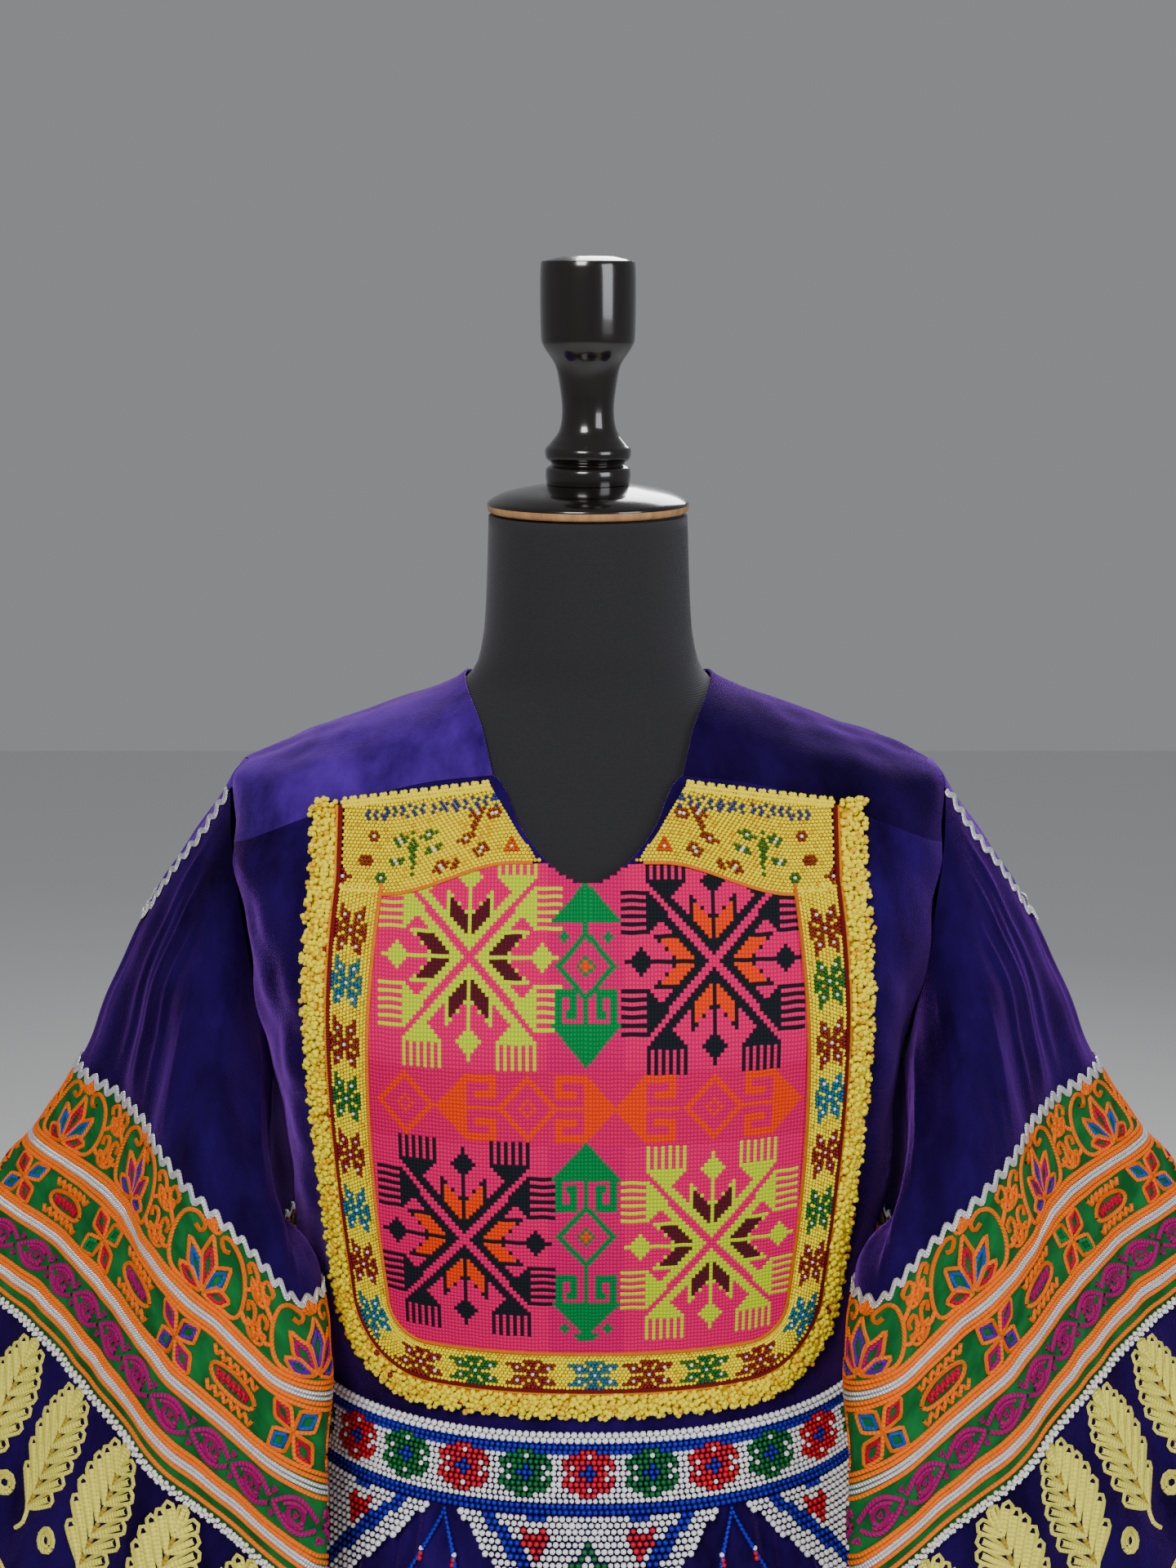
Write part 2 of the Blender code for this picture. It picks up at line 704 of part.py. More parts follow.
def fold_depth(angle, distance):
    total = 0.0
    grow = smooth_step(0.02, BAND_START - 0.03, distance)
    to_band = smooth_step(BAND_START - 0.02, BAND_START + 0.03, distance)
    to_cuff = smooth_step(BAND_END - 0.02, CUFF_END, distance)
    for middle, width, upper, band, cuff in SLEEVE_FOLDS:
        away = (angle - middle + 180) % 360 - 180
        deep = (upper + (band - upper) * to_band) * grow
        deep += (cuff - deep) * to_cuff
        total += deep * math.exp(-((away / width) ** 2))
    return total


def inner_hang(angle, distance):
    """The front of the sleeve's inner side falls straight, close to the body."""
    angle = (angle + 180) % 360 - 180
    low = min(max((distance - BAND_START) / 0.12, 0.0), 1.0)
    amount = (0.022 + 0.021 * low) * smooth_step(0.12, BAND_START, distance)
    inward = amount * math.exp(-(((angle - 152 + 14 * low) / (14 + 8 * low)) ** 2))
    return np.array((-inward, 0.0, inward * (0.5 - 0.75 * low)))


def sleeve_base(angle, distance):
    rows = sleeve_rows(angle)
    hung = np.array([table_value(rows, distance, column) for column in (1, 2, 3)])
    return hung + inner_hang(angle, distance)


def sleeve_normal(angle, distance):
    turn, step = 2.0, 0.004
    low = max(distance - step, 0.0)
    round_it = sleeve_base(angle + turn, distance) - sleeve_base(angle - turn, distance)
    down_it = sleeve_base(angle, distance + step) - sleeve_base(angle, low)
    normal = np.cross(round_it, down_it)
    return normal / np.linalg.norm(normal)


def sleeve_point(angle, distance, lift):
    normal = sleeve_normal(angle, distance)
    return sleeve_base(angle, distance) + (fold_depth(angle, distance) + lift) * normal


def cap_reach(angle):
    """Length of the shoulder cap at an angle, which is none away from the ridge."""
    away = abs((angle + 180) % 360 - 180)
    return CAP_LENGTH * max(1 - (away / CAP_ANGLE) ** 2, 0.0)


def sleeve_tube(name, side, start, end, lines, lift, thickness, collection, finish, angles=None):
    """A tier of the sleeve from one edge to the next, each a function of the angle."""
    closed = angles is None
    if closed:
        angles = [360 * j / SLEEVE_COLUMNS for j in range(SLEEVE_COLUMNS)]
    mirror = np.array((side, 1, 1))
    outer, inner = [], []
    for i in range(lines + 1):
        spots = [(a, start(a) + (end(a) - start(a)) * i / lines) for a in angles]
        outer.append([sleeve_point(a, place, lift + thickness) * mirror for a, place in spots])
        inner.append([sleeve_point(a, place, lift) * mirror for a, place in spots])
    return cloth_wall(name, outer, inner, collection, finish, closed)


def sleeve(side, collection, velvet, cotton, braid, beads):
    hand = "right" if side < 0 else "left"
    half = SEAM / 2
    cap_angles = [ARMHOLE_STEP * j for j in range(-3, 4)]
    sleeve_tube(f"sleeve_cap_{hand}", side, lambda a: 0.0, lambda a: cap_reach(a) - half, 6,
                -VELVET, VELVET, collection, velvet, cap_angles)
    sleeve_tube(f"sleeve_upper_{hand}", side, lambda a: cap_reach(a) + half * (cap_reach(a) > 0),
                lambda a: BAND_START - half, 5, -VELVET, VELVET, collection, velvet)
    sleeve_tube(f"sleeve_band_{hand}", side, lambda a: BAND_START + half, lambda a: BAND_END - half,
                2, -VELVET, VELVET, collection, cotton)
    sleeve_tube(f"sleeve_lower_{hand}", side, lambda a: BAND_END + half, lambda a: CUFF_END,
                3, -VELVET, VELVET, collection, velvet)
    sleeve_tube(f"cap_braid_{hand}", side, lambda a: cap_reach(a) - BRAID_WIDTH / 2,
                lambda a: cap_reach(a) + BRAID_WIDTH / 2, 1, BRAID_LIFT, BRAID,
                collection, braid, cap_angles)
    sleeve_tube(f"band_braid_{hand}", side, lambda a: BAND_START - BRAID_WIDTH / 2,
                lambda a: BAND_START + BRAID_WIDTH / 2, 1, BRAID_LIFT, BRAID, collection, braid)
    sleeve_tube(f"bead_rope_{hand}", side, lambda a: BAND_END - ROPE_WIDTH / 2,
                lambda a: BAND_END + ROPE_WIDTH / 2, 1, BRAID_LIFT, ROPE, collection, beads)


# Dress form and stand

def form_inset(point):
    """How far the form lies inside the body rings, which leaves room for the cloth."""
    x, _, z = point
    inset = 0.013 + (0.0044 - 0.013) * smooth_step(1.13, 1.23, z)
    inset += (0.0034 - 0.0044) * smooth_step(1.335, 1.348, z)
    under_tip = 0.007 * smooth_step(0.150, 0.190, abs(x)) * smooth_step(1.20, 1.27, z)
    return (inset + under_tip) * (1 - smooth_step(1.358, 1.376, z))


def dress_form(collection, finish):
    heights = (FORM_BOTTOM, 0.748, 0.800, 0.870, 0.930, 1.000, 1.070, 1.130,
               1.180, 1.220, 1.250, 1.272, 1.288, 1.297, 1.304, 1.314, 1.326,
               1.340, 1.350, 1.358, 1.368, 1.382, 1.410, NECK_TOP)
    columns = 24
    rings = []
    for height in heights:
        tuck = 0.010 if height == FORM_BOTTOM else 0.0
        ring = []
        for j in range(columns):
            angle = 2 * math.pi * j / columns
            point = ring_point(BODY_ROWS, height, angle)
            normal = ring_normal(BODY_ROWS, point)
            point -= (form_inset(point) + tuck) * normal
            if height == FORM_BOTTOM:
                point[2] = height
            ring.append(point)
        rings.append(ring)
    return ring_solid("form_torso", rings, collection, finish)


def stand(collection, wood, metal, lacquer):
    turned("neck_cap", NECK_CAP_PROFILE, collection, lacquer, 24)
    turned("finial", FINIAL_PROFILE, collection, lacquer, 14)
    length = FORM_BOTTOM - BASE_HEIGHT - 2 * SEAM
    bpy.ops.mesh.primitive_cylinder_add(vertices=20, radius=POLE_RADIUS, depth=length)
    pole = bpy.context.object
    pole.name = "stand_pole"
    pole.location = (0, 0, BASE_HEIGHT + SEAM + length / 2)
    pole.data.materials.append(metal)
    pole.data.shade_smooth()
    pole.data.set_sharp_from_angle(angle=math.radians(40))
    for home in list(pole.users_collection):
        home.objects.unlink(pole)
    collection.objects.link(pole)
    turned("stand_base", BASE_PROFILE, collection, wood, 24)


def main():
    for item in list(bpy.data.objects):
        bpy.data.objects.remove(item, do_unlink=True)
    collection = bpy.data.collections.new("kuchi_dress_on_form")
    bpy.context.scene.collection.children.link(collection)
    velvet = material("indigo_velvet", (0.020, 0.006, 0.110), 0.75)
    green = material("green_cotton", (0.017, 0.115, 0.038), 0.85)
    magenta = material("magenta_stitching", (0.720, 0.004, 0.170), 0.80)
    yellow = material("yellow_beads", (0.910, 0.730, 0.005), 0.30)
    white = material("white_beads", (0.850, 0.850, 0.850), 0.30)
    silver = material("silver_braid", (0.600, 0.600, 0.620), 0.40, 0.6)
    jersey = material("black_jersey", (0.006, 0.006, 0.008), 0.90)
    lacquer = material("black_lacquer", (0.012, 0.008, 0.007), 0.15)
    wood = material("stained_wood", (0.020, 0.012, 0.009), 0.35)
    steel = material("black_steel", (0.020, 0.020, 0.022), 0.35, 0.8)
    dress_form(collection, jersey)
    stand(collection, wood, steel, lacquer)
    bodice_panel("bodice_front", False, collection, velvet)
    bodice_panel("bodice_back", True, collection, velvet)
    shoulder_yoke("shoulder_yoke_left", 1, collection, velvet)
    shoulder_yoke("shoulder_yoke_right", -1, collection, velvet)
    panel_field(collection, magenta)
    bead_border(collection, yellow)
    bead_fringe(collection, yellow)
    bead_top("bead_top_left", 1, collection, yellow)
    bead_top("bead_top_right", -1, collection, yellow)
    belt_band(collection, white)
    for number in range(POINT_COUNT):
        belt_triangle(f"belt_point_{number + 1}", number, collection, white)
    ends = (*SKIRT_SEAMS[1:], SKIRT_SEAMS[0] + SKIRT_COLUMNS)
    for number, (first, last) in enumerate(zip(SKIRT_SEAMS, ends)):
        skirt_gore(f"skirt_gore_{number + 1}", first, last, collection, velvet)
    for side in (1, -1):
        sleeve(side, collection, velvet, green, silver, white)


main()
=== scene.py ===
"""Looks of a kuchi dress on its dress form: velvet, a counted-stitch chest panel, glass beads and braid.

Metres, +Z up, the dress faces -Y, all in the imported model's frame.
"""
import math

import bmesh
import bpy
import numpy as np
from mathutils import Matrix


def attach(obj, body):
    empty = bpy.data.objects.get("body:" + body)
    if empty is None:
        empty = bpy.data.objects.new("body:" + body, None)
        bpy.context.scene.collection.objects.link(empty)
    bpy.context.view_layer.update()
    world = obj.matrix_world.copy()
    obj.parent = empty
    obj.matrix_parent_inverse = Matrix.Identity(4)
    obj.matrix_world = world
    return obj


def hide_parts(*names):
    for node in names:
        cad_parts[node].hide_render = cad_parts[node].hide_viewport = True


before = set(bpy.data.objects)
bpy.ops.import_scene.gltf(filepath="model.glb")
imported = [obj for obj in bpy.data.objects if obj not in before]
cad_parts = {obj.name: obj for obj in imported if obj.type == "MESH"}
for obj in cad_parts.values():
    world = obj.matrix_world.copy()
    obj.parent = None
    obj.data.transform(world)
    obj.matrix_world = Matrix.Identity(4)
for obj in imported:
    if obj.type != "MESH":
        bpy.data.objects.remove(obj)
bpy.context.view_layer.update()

chance = np.random.default_rng(11)

# Sizes and forms that the cloth follows, as in the solids

HEM_HEIGHT = 0.055
WAIST_HEIGHT = 0.930
NECK_FRONT_HEIGHT = 1.257
YOKE_NECK_HEIGHT = 1.311
NECK_BACK_HEIGHT = 1.304
YOKE_NECK = 0.053
RIDGE_NECK = 0.072
ARMHOLE_HEIGHT = 1.2115
ARMHOLE_HALF_HEIGHT = 0.0915
ARMHOLE_HALF_DEPTH = 0.058
CORNER_ANGLE = 54.0
ARMHOLE_STEP = 9.0

FIELD_HALF_WIDTH = 0.112
FIELD_BULGE = 0.009
FIELD_LENGTH = 0.272
FIELD_CORNER = 0.024
BAND_WIDTH = 0.023
CORD_WIDTH = 0.004
TOP_BEADS_LENGTH = 0.042
TOP_BEADS_RISE = 0.013

BELT_TOP = 0.944
BELT_BOTTOM = 0.896
POINT_COUNT = 6

CAP_LENGTH = 0.113
CAP_ANGLE = 29.0
BAND_START = 0.214
BAND_END = 0.3515
CUFF_END = 0.500

# How far above the cloth under it each layer lies, and the gap at a seam

BRAID_LIFT = 0.0007
BELT_LIFT = 0.0011
POINT_LIFT = 0.0020
LAID = 0.0014
COTTON_THICK = 0.0015
TOP_BEADS_LIFT = 0.0020
VELVET_THICK = 0.0016
SEAM_GAP = 0.0003

HANDS = {1: "left", -1: "right"}

SKIRT_FOLDS = 26
SKIRT_COLUMNS = 104
SKIRT_SEAMS = (20, 32, 44, 60, 72, 84, 96, 112, 124)

BODY_ROWS = (
    # height, half width, front depth, back depth, squareness
    (0.740, 0.186, 0.142, 0.146, 2.2),
    (0.880, 0.176, 0.135, 0.126, 2.2),
    (0.930, 0.172, 0.132, 0.118, 2.2),
    (1.000, 0.174, 0.138, 0.114, 2.3),
    (1.080, 0.182, 0.147, 0.114, 2.4),
    (1.170, 0.194, 0.149, 0.114, 2.6),
    (1.225, 0.204, 0.128, 0.109, 2.8),
    (1.266, 0.2085, 0.100, 0.099, 3.0),
    (1.297, 0.205, 0.083, 0.087, 2.9),
    (1.325, 0.143, 0.072, 0.076, 2.5),
    (1.355, 0.072, 0.062, 0.066, 2.1),
    (1.380, 0.060, 0.060, 0.061, 2.0),
    (1.450, 0.0565, 0.0565, 0.0565, 2.0),
)

SKIRT_ROWS = (
    # height, half width, front depth, back depth, squareness, fold depth
    (0.055, 0.420, 0.420, 0.420, 2.00, 0.0200),
    (0.200, 0.392, 0.384, 0.384, 2.00, 0.0180),
    (0.360, 0.352, 0.334, 0.336, 2.02, 0.0150),
    (0.520, 0.302, 0.276, 0.280, 2.05, 0.0115),
    (0.660, 0.254, 0.224, 0.226, 2.10, 0.0080),
    (0.780, 0.212, 0.179, 0.176, 2.15, 0.0048),
    (0.850, 0.188, 0.152, 0.144, 2.20, 0.0028),
    (0.895, 0.176, 0.137, 0.125, 2.20, 0.0014),
    (0.930, 0.172, 0.132, 0.118, 2.20, 0.0000),
)

SLEEVE_RINGS = (
    # distance down the ridge, then angle from the ridge, x, depth, height round the front
    (0.1130, ((0, 0.2640, 0.000, 1.208), (45, 0.2400, 0.052, 1.200), (90, 0.2120, 0.092, 1.165),
              (135, 0.1820, 0.100, 1.086), (180, 0.1960, 0.000, 1.062))),
    (0.2140, ((0, 0.3075, 0.000, 1.117), (45, 0.2600, 0.064, 1.112), (90, 0.2220, 0.122, 1.090),
              (135, 0.1660, 0.140, 1.026), (180, 0.1960, 0.000, 0.998))),
    (0.3515, ((0, 0.3970, 0.000, 0.998), (45, 0.3220, 0.070, 0.974), (90, 0.2520, 0.140, 0.938),
              (135, 0.1960, 0.172, 0.880), (180, 0.2100, 0.000, 0.850))),
    (0.5000, ((0, 0.4700, 0.000, 0.868), (45, 0.3850, 0.085, 0.838), (90, 0.3000, 0.160, 0.800),
              (135, 0.2340, 0.195, 0.748), (180, 0.2640, 0.000, 0.732))),
)

SLEEVE_FOLDS = (
    # angle, angular width, depth in the upper tier, depth in the band, depth at the cuff
    (20.0, 8.0, 0.0025, 0.0010, 0.0060),
    (46.0, 9.0, 0.0050, 0.0020, 0.0080),
    (72.0, 9.0, 0.0040, 0.0010, 0.0090),
    (98.0, 10.0, 0.0065, 0.0035, 0.0100),
    (127.0, 9.0, 0.0060, 0.0080, 0.0120),
    (156.0, 9.0, 0.0040, 0.0030, 0.0080),
    (204.0, 9.0, 0.0040, 0.0030, 0.0080),
    (233.0, 9.0, 0.0060, 0.0070, 0.0120),
    (262.0, 10.0, 0.0060, 0.0030, 0.0100),
    (288.0, 9.0, 0.0045, 0.0015, 0.0090),
    (314.0, 9.0, 0.0050, 0.0020, 0.0080),
    (340.0, 8.0, 0.0025, 0.0010, 0.0060),
)


def smooth_between(places, values, place):
    """Read values given at some places at any other place, on a smooth curve that doesn't overshoot."""
    places = np.asarray(places, float)
    values = np.asarray(values, float)
    place = np.clip(place, places[0], places[-1])
    shape = (-1,) + (1,) * (values.ndim - 1)
    steps = np.diff(values, axis=0) / np.diff(places).reshape(shape)
    before = np.concatenate((steps[:1], steps))
    after = np.concatenate((steps, steps[-1:]))
    both = before * after
    total = np.where(np.abs(before + after) < 1e-12, 1.0, before + after)
    slopes = np.where(both > 0, 2 * both / total, 0.0)
    i = np.clip(np.searchsorted(places, place) - 1, 0, len(places) - 2)
    span = places[i + 1] - places[i]
    t = (place - places[i]) / span

    def pick(table, index):
        if values.ndim == 1:
            return table[index]
        return np.take_along_axis(table, np.broadcast_to(index, values.shape[1:])[None], 0)[0]

    rise = (2 * t**3 - 3 * t**2 + 1) * pick(values, i) + (3 * t**2 - 2 * t**3) * pick(values, i + 1)
    return rise + span * ((t**3 - 2 * t**2 + t) * pick(slopes, i) + (t**3 - t**2) * pick(slopes, i + 1))


def column(rows, place, number):
    return smooth_between([row[0] for row in rows], [row[number] for row in rows], place)


def smooth_step(low, high, value):
    t = np.clip((value - low) / (high - low), 0.0, 1.0)
    return t * t * (3 - 2 * t)


def signed_power(value, power):
    return np.sign(value) * np.abs(value) ** power


def within(value, low, high):
    return (value >= low) & (value <= high)


def wrapped(degrees):
    """The same angle between -180 and 180."""
    return (degrees + 180) % 360 - 180


def mirror(points, side):
    """Points of the left side as they are, and of the right side with x turned over."""
    return points * np.array((side, 1, 1))


def raised(points, height, out):
    """Points moved a height each along their outward ways."""
    return points + np.asarray(height)[..., None] * out


def lengths_along(line):
    """How far along a line each of its points is."""
    return np.concatenate(((0.0,), np.cumsum(np.linalg.norm(np.diff(line, axis=0), axis=1))))


def at_lengths(line, lengths, places):
    """The points of a flat line at some lengths along it."""
    return np.stack((np.interp(places, lengths, line[:, 0]), np.interp(places, lengths, line[:, 1])), -1)


def in_table(table, i, j):
    """A table's values at places between its rows and columns."""
    i0 = np.clip(i.astype(int), 0, table.shape[0] - 2)
    j0 = np.clip(j.astype(int), 0, table.shape[1] - 2)
    s, t = i - i0, j - j0
    low = (1 - t) * table[i0, j0] + t * table[i0, j0 + 1]
    high = (1 - t) * table[i0 + 1, j0] + t * table[i0 + 1, j0 + 1]
    return (1 - s) * low + s * high


# Rings round the body: angle 0 is the middle of the front, 90 degrees the side at +X

def ring_point(rows, height, angle):
    height, angle = np.broadcast_arrays(np.asarray(height, float), np.asarray(angle, float))
    depth = np.where(np.cos(angle) > 0, column(rows, height, 2), column(rows, height, 3))
    power = 2 / column(rows, height, 4)
    x = column(rows, height, 1) * signed_power(np.sin(angle), power)
    y = -depth * signed_power(np.cos(angle), power)
    return np.stack((x, y, height), -1)


def ring_level(rows, x, y, height):
    depth = np.where(y < 0, column(rows, height, 2), column(rows, height, 3))
    square = column(rows, height, 4)
    return (np.abs(x) / column(rows, height, 1)) ** square + (np.abs(y) / depth) ** square


def ring_slope(rows, points):
    x, y, z = np.moveaxis(points, -1, 0)
    step = 0.0004
    return np.stack((
        ring_level(rows, x + step, y, z) - ring_level(rows, x - step, y, z),
        ring_level(rows, x, y + step, z) - ring_level(rows, x, y - step, z),
        ring_level(rows, x, y, z + step) - ring_level(rows, x, y, z - step),
    ), -1) / (2 * step)


def unit(vectors):
    return vectors / np.maximum(np.linalg.norm(vectors, axis=-1, keepdims=True), 1e-12)


def ring_normal(rows, points):
    return unit(ring_slope(rows, points))


def onto_rings(rows, points):
    """Move points straight onto the surface through the rings."""
    for _ in range(3):
        slope = ring_slope(rows, points)
        x, y, z = np.moveaxis(points, -1, 0)
        off = (ring_level(rows, x, y, z) - 1) / np.maximum((slope**2).sum(-1), 1e-9)
        points = points - off[..., None] * slope
    return points


def angle_for_x(rows, x, height):
    ratio = np.minimum(np.abs(x) / column(rows, height, 1), 1.0)
    return np.sign(x) * np.arcsin(ratio ** (column(rows, height, 4) / 2))


def ring_lengths(rows, height, angles):
    return lengths_along(ring_point(rows, height, angles))


# The chest chart: across from the middle, down along the cloth from the top of the stitched field

def front_heights():
    """Heights down the middle of the front, and how far down the cloth each is from the neckline."""
    heights = np.linspace(1.330, 0.880, 400)
    lengths = lengths_along(np.stack((heights, column(BODY_ROWS, heights, 2)), -1))
    return lengths - float(np.interp(-NECK_FRONT_HEIGHT, -heights, lengths)), heights


CHART_LENGTHS, CHART_HEIGHTS = front_heights()
CHART_REACH = np.linspace(0.0, 0.230, 116)
TURNS = np.linspace(0.0, math.radians(140), 281)
CHART_ANGLES = np.array([
    np.interp(CHART_REACH, ring_lengths(BODY_ROWS, height, TURNS), TURNS) for height in CHART_HEIGHTS
])


def chart_point(across, down, lift):
    across, down = np.broadcast_arrays(np.asarray(across, float), np.asarray(down, float))
    height = np.interp(down, CHART_LENGTHS, CHART_HEIGHTS)
    i = (CHART_HEIGHTS[0] - height) / (CHART_HEIGHTS[0] - CHART_HEIGHTS[-1]) * (len(CHART_HEIGHTS) - 1)
    j = np.abs(across) / CHART_REACH[-1] * (len(CHART_REACH) - 1)
    point = ring_point(BODY_ROWS, height, np.sign(across) * in_table(CHART_ANGLES, i, j))
    return raised(point, lift, ring_normal(BODY_ROWS, point))


def field_half_width(down):
    return FIELD_HALF_WIDTH + FIELD_BULGE * np.sin(math.pi * np.clip(down / FIELD_LENGTH, 0, 1))


TURN_START = FIELD_LENGTH - FIELD_CORNER
TURN_CENTRE = float(field_half_width(TURN_START)) - FIELD_CORNER


def field_path(apart, top, spacing):
    """Places down the left side, along the bottom and up the right side, a distance out from the field."""
    corner = FIELD_CORNER + apart
    low = FIELD_LENGTH + apart
    half = [(field_half_width(down) + apart, down)
            for down in np.linspace(top, TURN_START, 80, endpoint=False)]
    for turn in np.linspace(0, math.pi / 2, 24, endpoint=False):
        half.append((TURN_CENTRE + corner * math.cos(turn), TURN_START + corner * math.sin(turn)))
    half += [(TURN_CENTRE * (1 - share), low) for share in np.linspace(0, 1, 30, endpoint=False)]
    whole = np.array([(-a, b) for a, b in half] + [(0.0, low)] + half[::-1])
    lengths = lengths_along(whole)
    count = max(int(round(lengths[-1] / spacing)), 2)
    return at_lengths(whole, lengths, np.linspace(0, lengths[-1], count + 1))


def neckline_across(down):
    height = np.interp(down, CHART_LENGTHS, CHART_HEIGHTS)
    share = np.clip((height - NECK_FRONT_HEIGHT) / (YOKE_NECK_HEIGHT - NECK_FRONT_HEIGHT), 0, 1)
    return YOKE_NECK * share ** (1 / 1.9)


# Bodice and yokes, as coarse grids that are then made fine

YOKE_SEAM_X = (0.053, 0.090, 0.127, 0.157, 0.178, 0.192)
NECK_EDGE_X = (0.0, 0.018, 0.036)
BODICE_HEIGHTS = (0.930, 0.948, 0.985, 1.035, 1.085)


def armhole_side(angle):
    turn = np.radians(angle)
    return -ARMHOLE_HALF_DEPTH * np.sin(turn), ARMHOLE_HEIGHT + ARMHOLE_HALF_HEIGHT * np.cos(turn)


def armhole_point(angle):
    depth, height = armhole_side(angle)
    reach = np.where(depth < 0, column(BODY_ROWS, height, 2), column(BODY_ROWS, height, 3))
    square = column(BODY_ROWS, height, 4)
    width = column(BODY_ROWS, height, 1)
    return np.stack((width * (1 - (np.abs(depth) / reach) ** square) ** (1 / square), depth, height), -1)


CORNER_X = float(armhole_point(CORNER_ANGLE)[0])
CORNER_HEIGHT = float(armhole_side(CORNER_ANGLE)[1])


def yoke_seam_height(x):
    share = (abs(x) - YOKE_NECK) / (CORNER_X - YOKE_NECK)
    return YOKE_NECK_HEIGHT - (YOKE_NECK_HEIGHT - CORNER_HEIGHT) * share ** 1.7


def neckline_height(x, middle):
    return middle + (YOKE_NECK_HEIGHT - middle) * (abs(x) / YOKE_NECK) ** 1.9


def on_side(angle, back):
    return math.copysign(math.pi, angle) - angle if back else angle


def side_edge(height, back):
    if height <= ARMHOLE_HEIGHT - ARMHOLE_HALF_HEIGHT:
        return math.pi / 2
    share = min((height - ARMHOLE_HEIGHT) / ARMHOLE_HALF_HEIGHT, 1.0)
    depth = ARMHOLE_HALF_DEPTH * math.sqrt(max(1 - share * share, 0.0))
    ratio = depth / column(BODY_ROWS, height, 3 if back else 2)
    return math.acos(ratio ** (column(BODY_ROWS, height, 4) / 2))


def bodice_grid(back):
    middle = NECK_BACK_HEIGHT if back else NECK_FRONT_HEIGHT
    half = [(x, neckline_height(x, middle)) for x in NECK_EDGE_X]
    half += [(x, yoke_seam_height(x)) for x in YOKE_SEAM_X]
    half.append((CORNER_X, CORNER_HEIGHT))
    tops = [(-x, height) for x, height in reversed(half[1:])] + half
    count = len(half) - 1
    edge_heights = list(BODICE_HEIGHTS)
    steps = int((180 - CORNER_ANGLE) / (2 * ARMHOLE_STEP))
    edge_heights += [float(armhole_side(180 - 2 * ARMHOLE_STEP * step)[1]) for step in range(steps + 1)]
    grid = []
    for edge_height in edge_heights:
        rise = (edge_height - WAIST_HEIGHT) / (CORNER_HEIGHT - WAIST_HEIGHT)
        row = []
        for j, (x, top) in enumerate(tops):
            height = WAIST_HEIGHT + (top - WAIST_HEIGHT) * rise
            if rise > 0.9999:
                angle = float(angle_for_x(BODY_ROWS, x, top))
                if j in (0, 2 * count):
                    angle = math.copysign(side_edge(edge_height, back), j - count)
            else:
                share = (j - count) / count
                if 0 < j < 2 * count:
                    high = float(angle_for_x(BODY_ROWS, x, top)) / side_edge(CORNER_HEIGHT, back)
                    share += (high - share) * rise**1.5
                angle = share * side_edge(height, back)
            row.append(ring_point(BODY_ROWS, height, on_side(angle, back)))
        grid.append(row)
    return np.array(grid)


def surface_height(x, y):
    low, high = 1.266, 1.372
    for _ in range(40):
        height = (low + high) / 2
        if ring_level(BODY_ROWS, x, y, height) < 1:
            low = height
        else:
            high = height
    return high


def yoke_grid():
    steps = int(CORNER_ANGLE / ARMHOLE_STEP)
    turns = [ARMHOLE_STEP * step for step in range(steps, -steps - 1, -1)]
    tip_x = float(column(BODY_ROWS, armhole_side(0)[1], 1))
    grid = []
    for x_seam in (*YOKE_SEAM_X, CORNER_X):
        share = (x_seam - YOKE_NECK) / (CORNER_X - YOKE_NECK)
        seam = yoke_seam_height(x_seam)
        x_ridge = RIDGE_NECK + (tip_x - RIDGE_NECK) * share
        seam_angle = float(angle_for_x(BODY_ROWS, x_seam, seam))
        seam_depth = [ring_point(BODY_ROWS, seam, on_side(seam_angle, back))[1] for back in (False, True)]
        row = []
        for turn in turns:
            back = turn < 0
            v = abs(turn) / CORNER_ANGLE
            if x_seam == CORNER_X:
                height = float(armhole_side(abs(turn))[1])
                angle = side_edge(height, back)
            else:
                x = x_ridge + (x_seam - x_ridge) * v * v
                height = seam if v == 1 else surface_height(x, seam_depth[back] * v)
                angle = float(angle_for_x(BODY_ROWS, x, height))
            row.append(ring_point(BODY_ROWS, height, on_side(angle, back)))
        grid.append(row)
    return np.array(grid)


def finer(grid, rows, columns):
    """A grid of points made finer along smooth curves through its points."""
    return np.swapaxes(resample(np.swapaxes(resample(grid, rows), 0, 1), columns), 0, 1)


def resample(grid, count):
    """Catmull-Rom curves through the first axis of a grid, at evenly spread places."""
    places = np.linspace(0, len(grid) - 1, count)
    i = np.clip(places.astype(int), 0, len(grid) - 2)
    t = (places - i).reshape((-1,) + (1,) * (grid.ndim - 1))
    padded = np.concatenate((2 * grid[:1] - grid[1:2], grid, 2 * grid[-1:] - grid[-2:-1]))
    a, b, c, d = padded[i], padded[i + 1], padded[i + 2], padded[i + 3]
    return 0.5 * (2 * b + (c - a) * t + (2 * a - 5 * b + 4 * c - d) * t**2 + (3 * b - a - 3 * c + d) * t**3)


# Sleeves: angle 0 is the outer ridge, 90 the front, 180 the underside

def section_point(points, angle):
    (_, x_front, depth_front, z_front), (_, x_under, depth_under, z_under) = points[1], points[-2]
    rows = [(-45, x_front, -depth_front, z_front), *points, (225, x_under, -depth_under, z_under)]
    x, depth, height = (column(rows, np.abs(angle), number) for number in (1, 2, 3))
    return np.stack((x, -np.sign(angle) * depth, height), -1)


